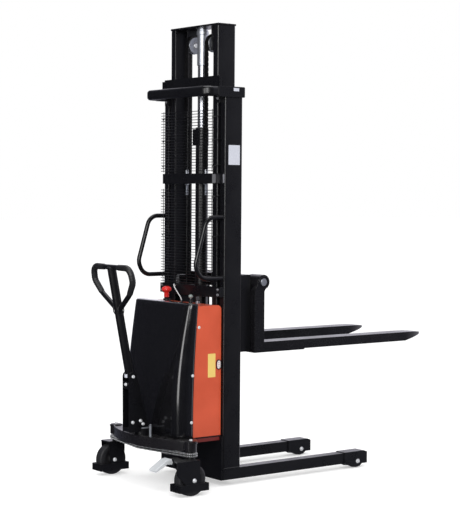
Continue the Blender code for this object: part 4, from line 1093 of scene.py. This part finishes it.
def build_tiller():
    radius, length = 0.022, 0.561
    fork, half = 0.336, 0.172
    top = length + 0.001
    bow = [(0.0, fork), (-0.12, 0.424), (-half, 0.49), (0.008 - half, top)]
    bow += [(-side, up) for side, up in reversed(bow)]
    tube = [on_tiller(distance) for distance in (0.012, 0.02, length - 0.016, length)]
    eye = both_ways(0.0238, (0.0, 0.0), (radius - 0.0006, 0.0), (radius, 0.0006))
    handle = fillet([on_tiller(up, side) for side, up in bow], BOW_RADIUS, 12)
    shapes = [swept(tube, circle(radius, 40), RIGHT), turned(eye, TILLER_PIVOT, 0, 40),
              swept(handle, circle(0.013, 24), FORWARD)]
    for side in (-1, 1):
        around = [on_tiller(0.344 + 0.025625 * along, side * (radius + 0.0005), 0.0165 * forward)
                  for along, forward in arc((0.0, 0.0), 1.0, 0, 360, 24)]
        shapes.append(weld(around, 0.0024))
    add_piece("tiller_tube", "tiller", shapes, replaces=["tiller_arm"])
    cap = [on_tiller(length + beyond) for beyond in (-0.0005, 0.0035, 0.006)]
    cap = swept(cap, circle(radius, 40), RIGHT, [1.0, 1.0, 0.86])
    add_piece("tiller_cap", "tiller", cap, "grip_plastic")

    for side, which in SIDES:
        path = [on_tiller(up, side * out) for out, up in
                ((0.124, 0.428), (half, 0.49), (half - 0.008, top), (0.06, top))]
        route = resampled(fillet(path, BOW_RADIUS, 12), 0.003)
        grip = swept(route, circle(1.0, 28), FORWARD, grip_widths(len(route)))
        add_piece("tiller_grip_" + which, "tiller", grip, "grip_plastic")


def grip_widths(count):
    """Radius along a grip: a slight swell with fine rings, stepped down at its ends."""
    widths = []
    for index in range(count):
        place = index / (count - 1)
        width = 0.015 + 0.0012 * math.sin(place * math.pi)
        if min(place, 1.0 - place) < 0.016:
            width = 0.0134
        elif index % 4 == 0:
            width -= 0.0008
        widths.append(width)
    return widths


def build_tiller_bracket():
    carry_over("tiller_bracket")
    _, y, z = TILLER_PIVOT
    spots = ((y, z), (-0.392, 0.33), (-0.345, 0.335), (-0.33, 0.318))
    bolts = [((side * 0.0305, *spot), RIGHT * side) for side in (-1, 1) for spot in spots]
    bolts.append(((0.0, -0.4128, 0.52), -FORWARD))
    add_heads("bracket_bolts", "tiller_swivel", hex_head(0.012, 0.006), bolts)
    plate = box((-0.0244, 0.0244), (-0.4128, -0.406), (0.496, 0.533))
    add_piece("bracket_bridge", "tiller_swivel", plate, edge=0.001)
    # A small pale plate on the tiller's rear face at the pivot: a painted highlight.
    highlight_plate = box((-0.011, 0.011), (-0.4142, -0.412), (0.554, 0.572))
    add_piece("pivot_painted_highlight", "tiller", highlight_plate, "label_white_and_highlight", edge=0.0004)
    bearing = [(0.0, 0.2945), (0.0405, 0.2945), (0.0405, 0.299), (0.0385, 0.3005), (0.031, 0.3005),
               (0.0, 0.3005)]
    add_piece("steer_bearing_cap", "tiller_swivel", turned(bearing, (*STEER_AXIS, 0.0)), "zinc")


# ---------------------------------------------------------------- stage

def build_floor():
    mesh = bpy.data.meshes.new("floor")
    size = 60.0
    corners = [(-size, -size, 0.0), (size, -size, 0.0), (size, size, 0.0), (-size, size, 0.0)]
    mesh.from_pydata(corners, [], [(0, 1, 2, 3)])
    n = material("floor")
    n.surface(Base_Color=n.mixed(n.noise(0.8, 3.0), (0.68, 0.68, 0.68, 1.0), (0.7, 0.7, 0.7, 1.0)),
              Roughness=0.75, Specular_IOR_Level=0.0, Emission_Color=(1.0, 1.0, 1.0, 1.0),
              Emission_Strength=0.42)
    mesh.materials.append(MATERIALS["floor"])
    ground = bpy.data.objects.new("floor", mesh)
    ground.location.z = -0.0005
    ground.visible_glossy = False
    bpy.context.scene.collection.objects.link(ground)


def build_world():
    """White all round, but a dark studio with one bright side in reflections."""
    world = bpy.data.worlds.new("studio")
    bpy.context.scene.world = world
    n = Nodes(world)
    brightness = n.ranged(n.dot(n.add("TexCoord", "Generated"), (-0.15, 0.6, 0.25)), -0.3, 0.5)
    studio = n.add("ValToRGB", "Color", {"Fac": brightness})
    stops = studio.node.color_ramp.elements
    stops[0].position, stops[0].color = 0.1, (0.026, 0.027, 0.038, 1.0)
    stops[1].position, stops[1].color = 0.97, (1.00, 0.98, 1.1, 1.0)
    stops.new(0.72).color = (0.1, 0.105, 0.14, 1.0)
    seen = n.mixed(n.add("LightPath", "Is Glossy Ray"), (1.0, 1.0, 1.0, 1.0), studio)
    n.feed(seen, n.tree.nodes["Background"].inputs["Color"])


def add_light(name, place, wide, tall, power):
    data = bpy.data.lights.new(name, "AREA")
    put(data, shape="RECTANGLE", size=wide, size_y=tall, energy=power)
    light = bpy.data.objects.new(name, data)
    light.location = Vector(place) + FORWARD * FACE
    aim = Vector((0.0, 0.2 + FACE, 1.0)) - light.location
    light.rotation_euler = aim.to_track_quat("-Z", "Y").to_euler()
    bpy.context.scene.collection.objects.link(light)


def build_lights():
    add_light("key", (3.9, -3.6, 3.2), 2.2, 3.4, 170.0)
    add_light("strip", (1.6, -5.2, 1.6), 1.6, 3.6, 90.0)
    add_light("top", (0.0, 0.2, 5.6), 3.0, 3.0, 90.0)


def build_camera():
    data = bpy.data.cameras.new("camera")
    put(data, lens=104.82, sensor_width=36.0, shift_y=0.00695)
    camera = bpy.data.objects.new("camera", data)
    place = Vector((6.2543, -4.5458, 1.4837))
    aim = Vector((0.05, 0.2, 1.127)) - place
    turn = aim.to_track_quat("-Z", "Y").to_matrix() @ Matrix.Rotation(math.radians(0.386), 3, "Z")
    camera.matrix_world = Matrix.Translation(place + FORWARD * FACE) @ turn.to_4x4()
    bpy.context.scene.collection.objects.link(camera)
    bpy.context.scene.camera = camera
    bpy.context.scene.view_settings.view_transform = "Standard"


make_materials()
for build in (build_camera, build_outer_mast, build_mesh_guards, build_grab_handles, build_cylinder,
              build_inner_mast, build_chains, build_chain_wheels, build_chain_anchors, build_rollers,
              build_carriage, build_forks, build_legs, build_chassis, build_steering_links,
              build_cover, build_power_box, build_charge_socket, build_power_pack, build_switches,
              build_lever, build_signal_lead, build_casters, build_brake, build_tiller,
              build_tiller_bracket, build_floor, build_world, build_lights):
    build()
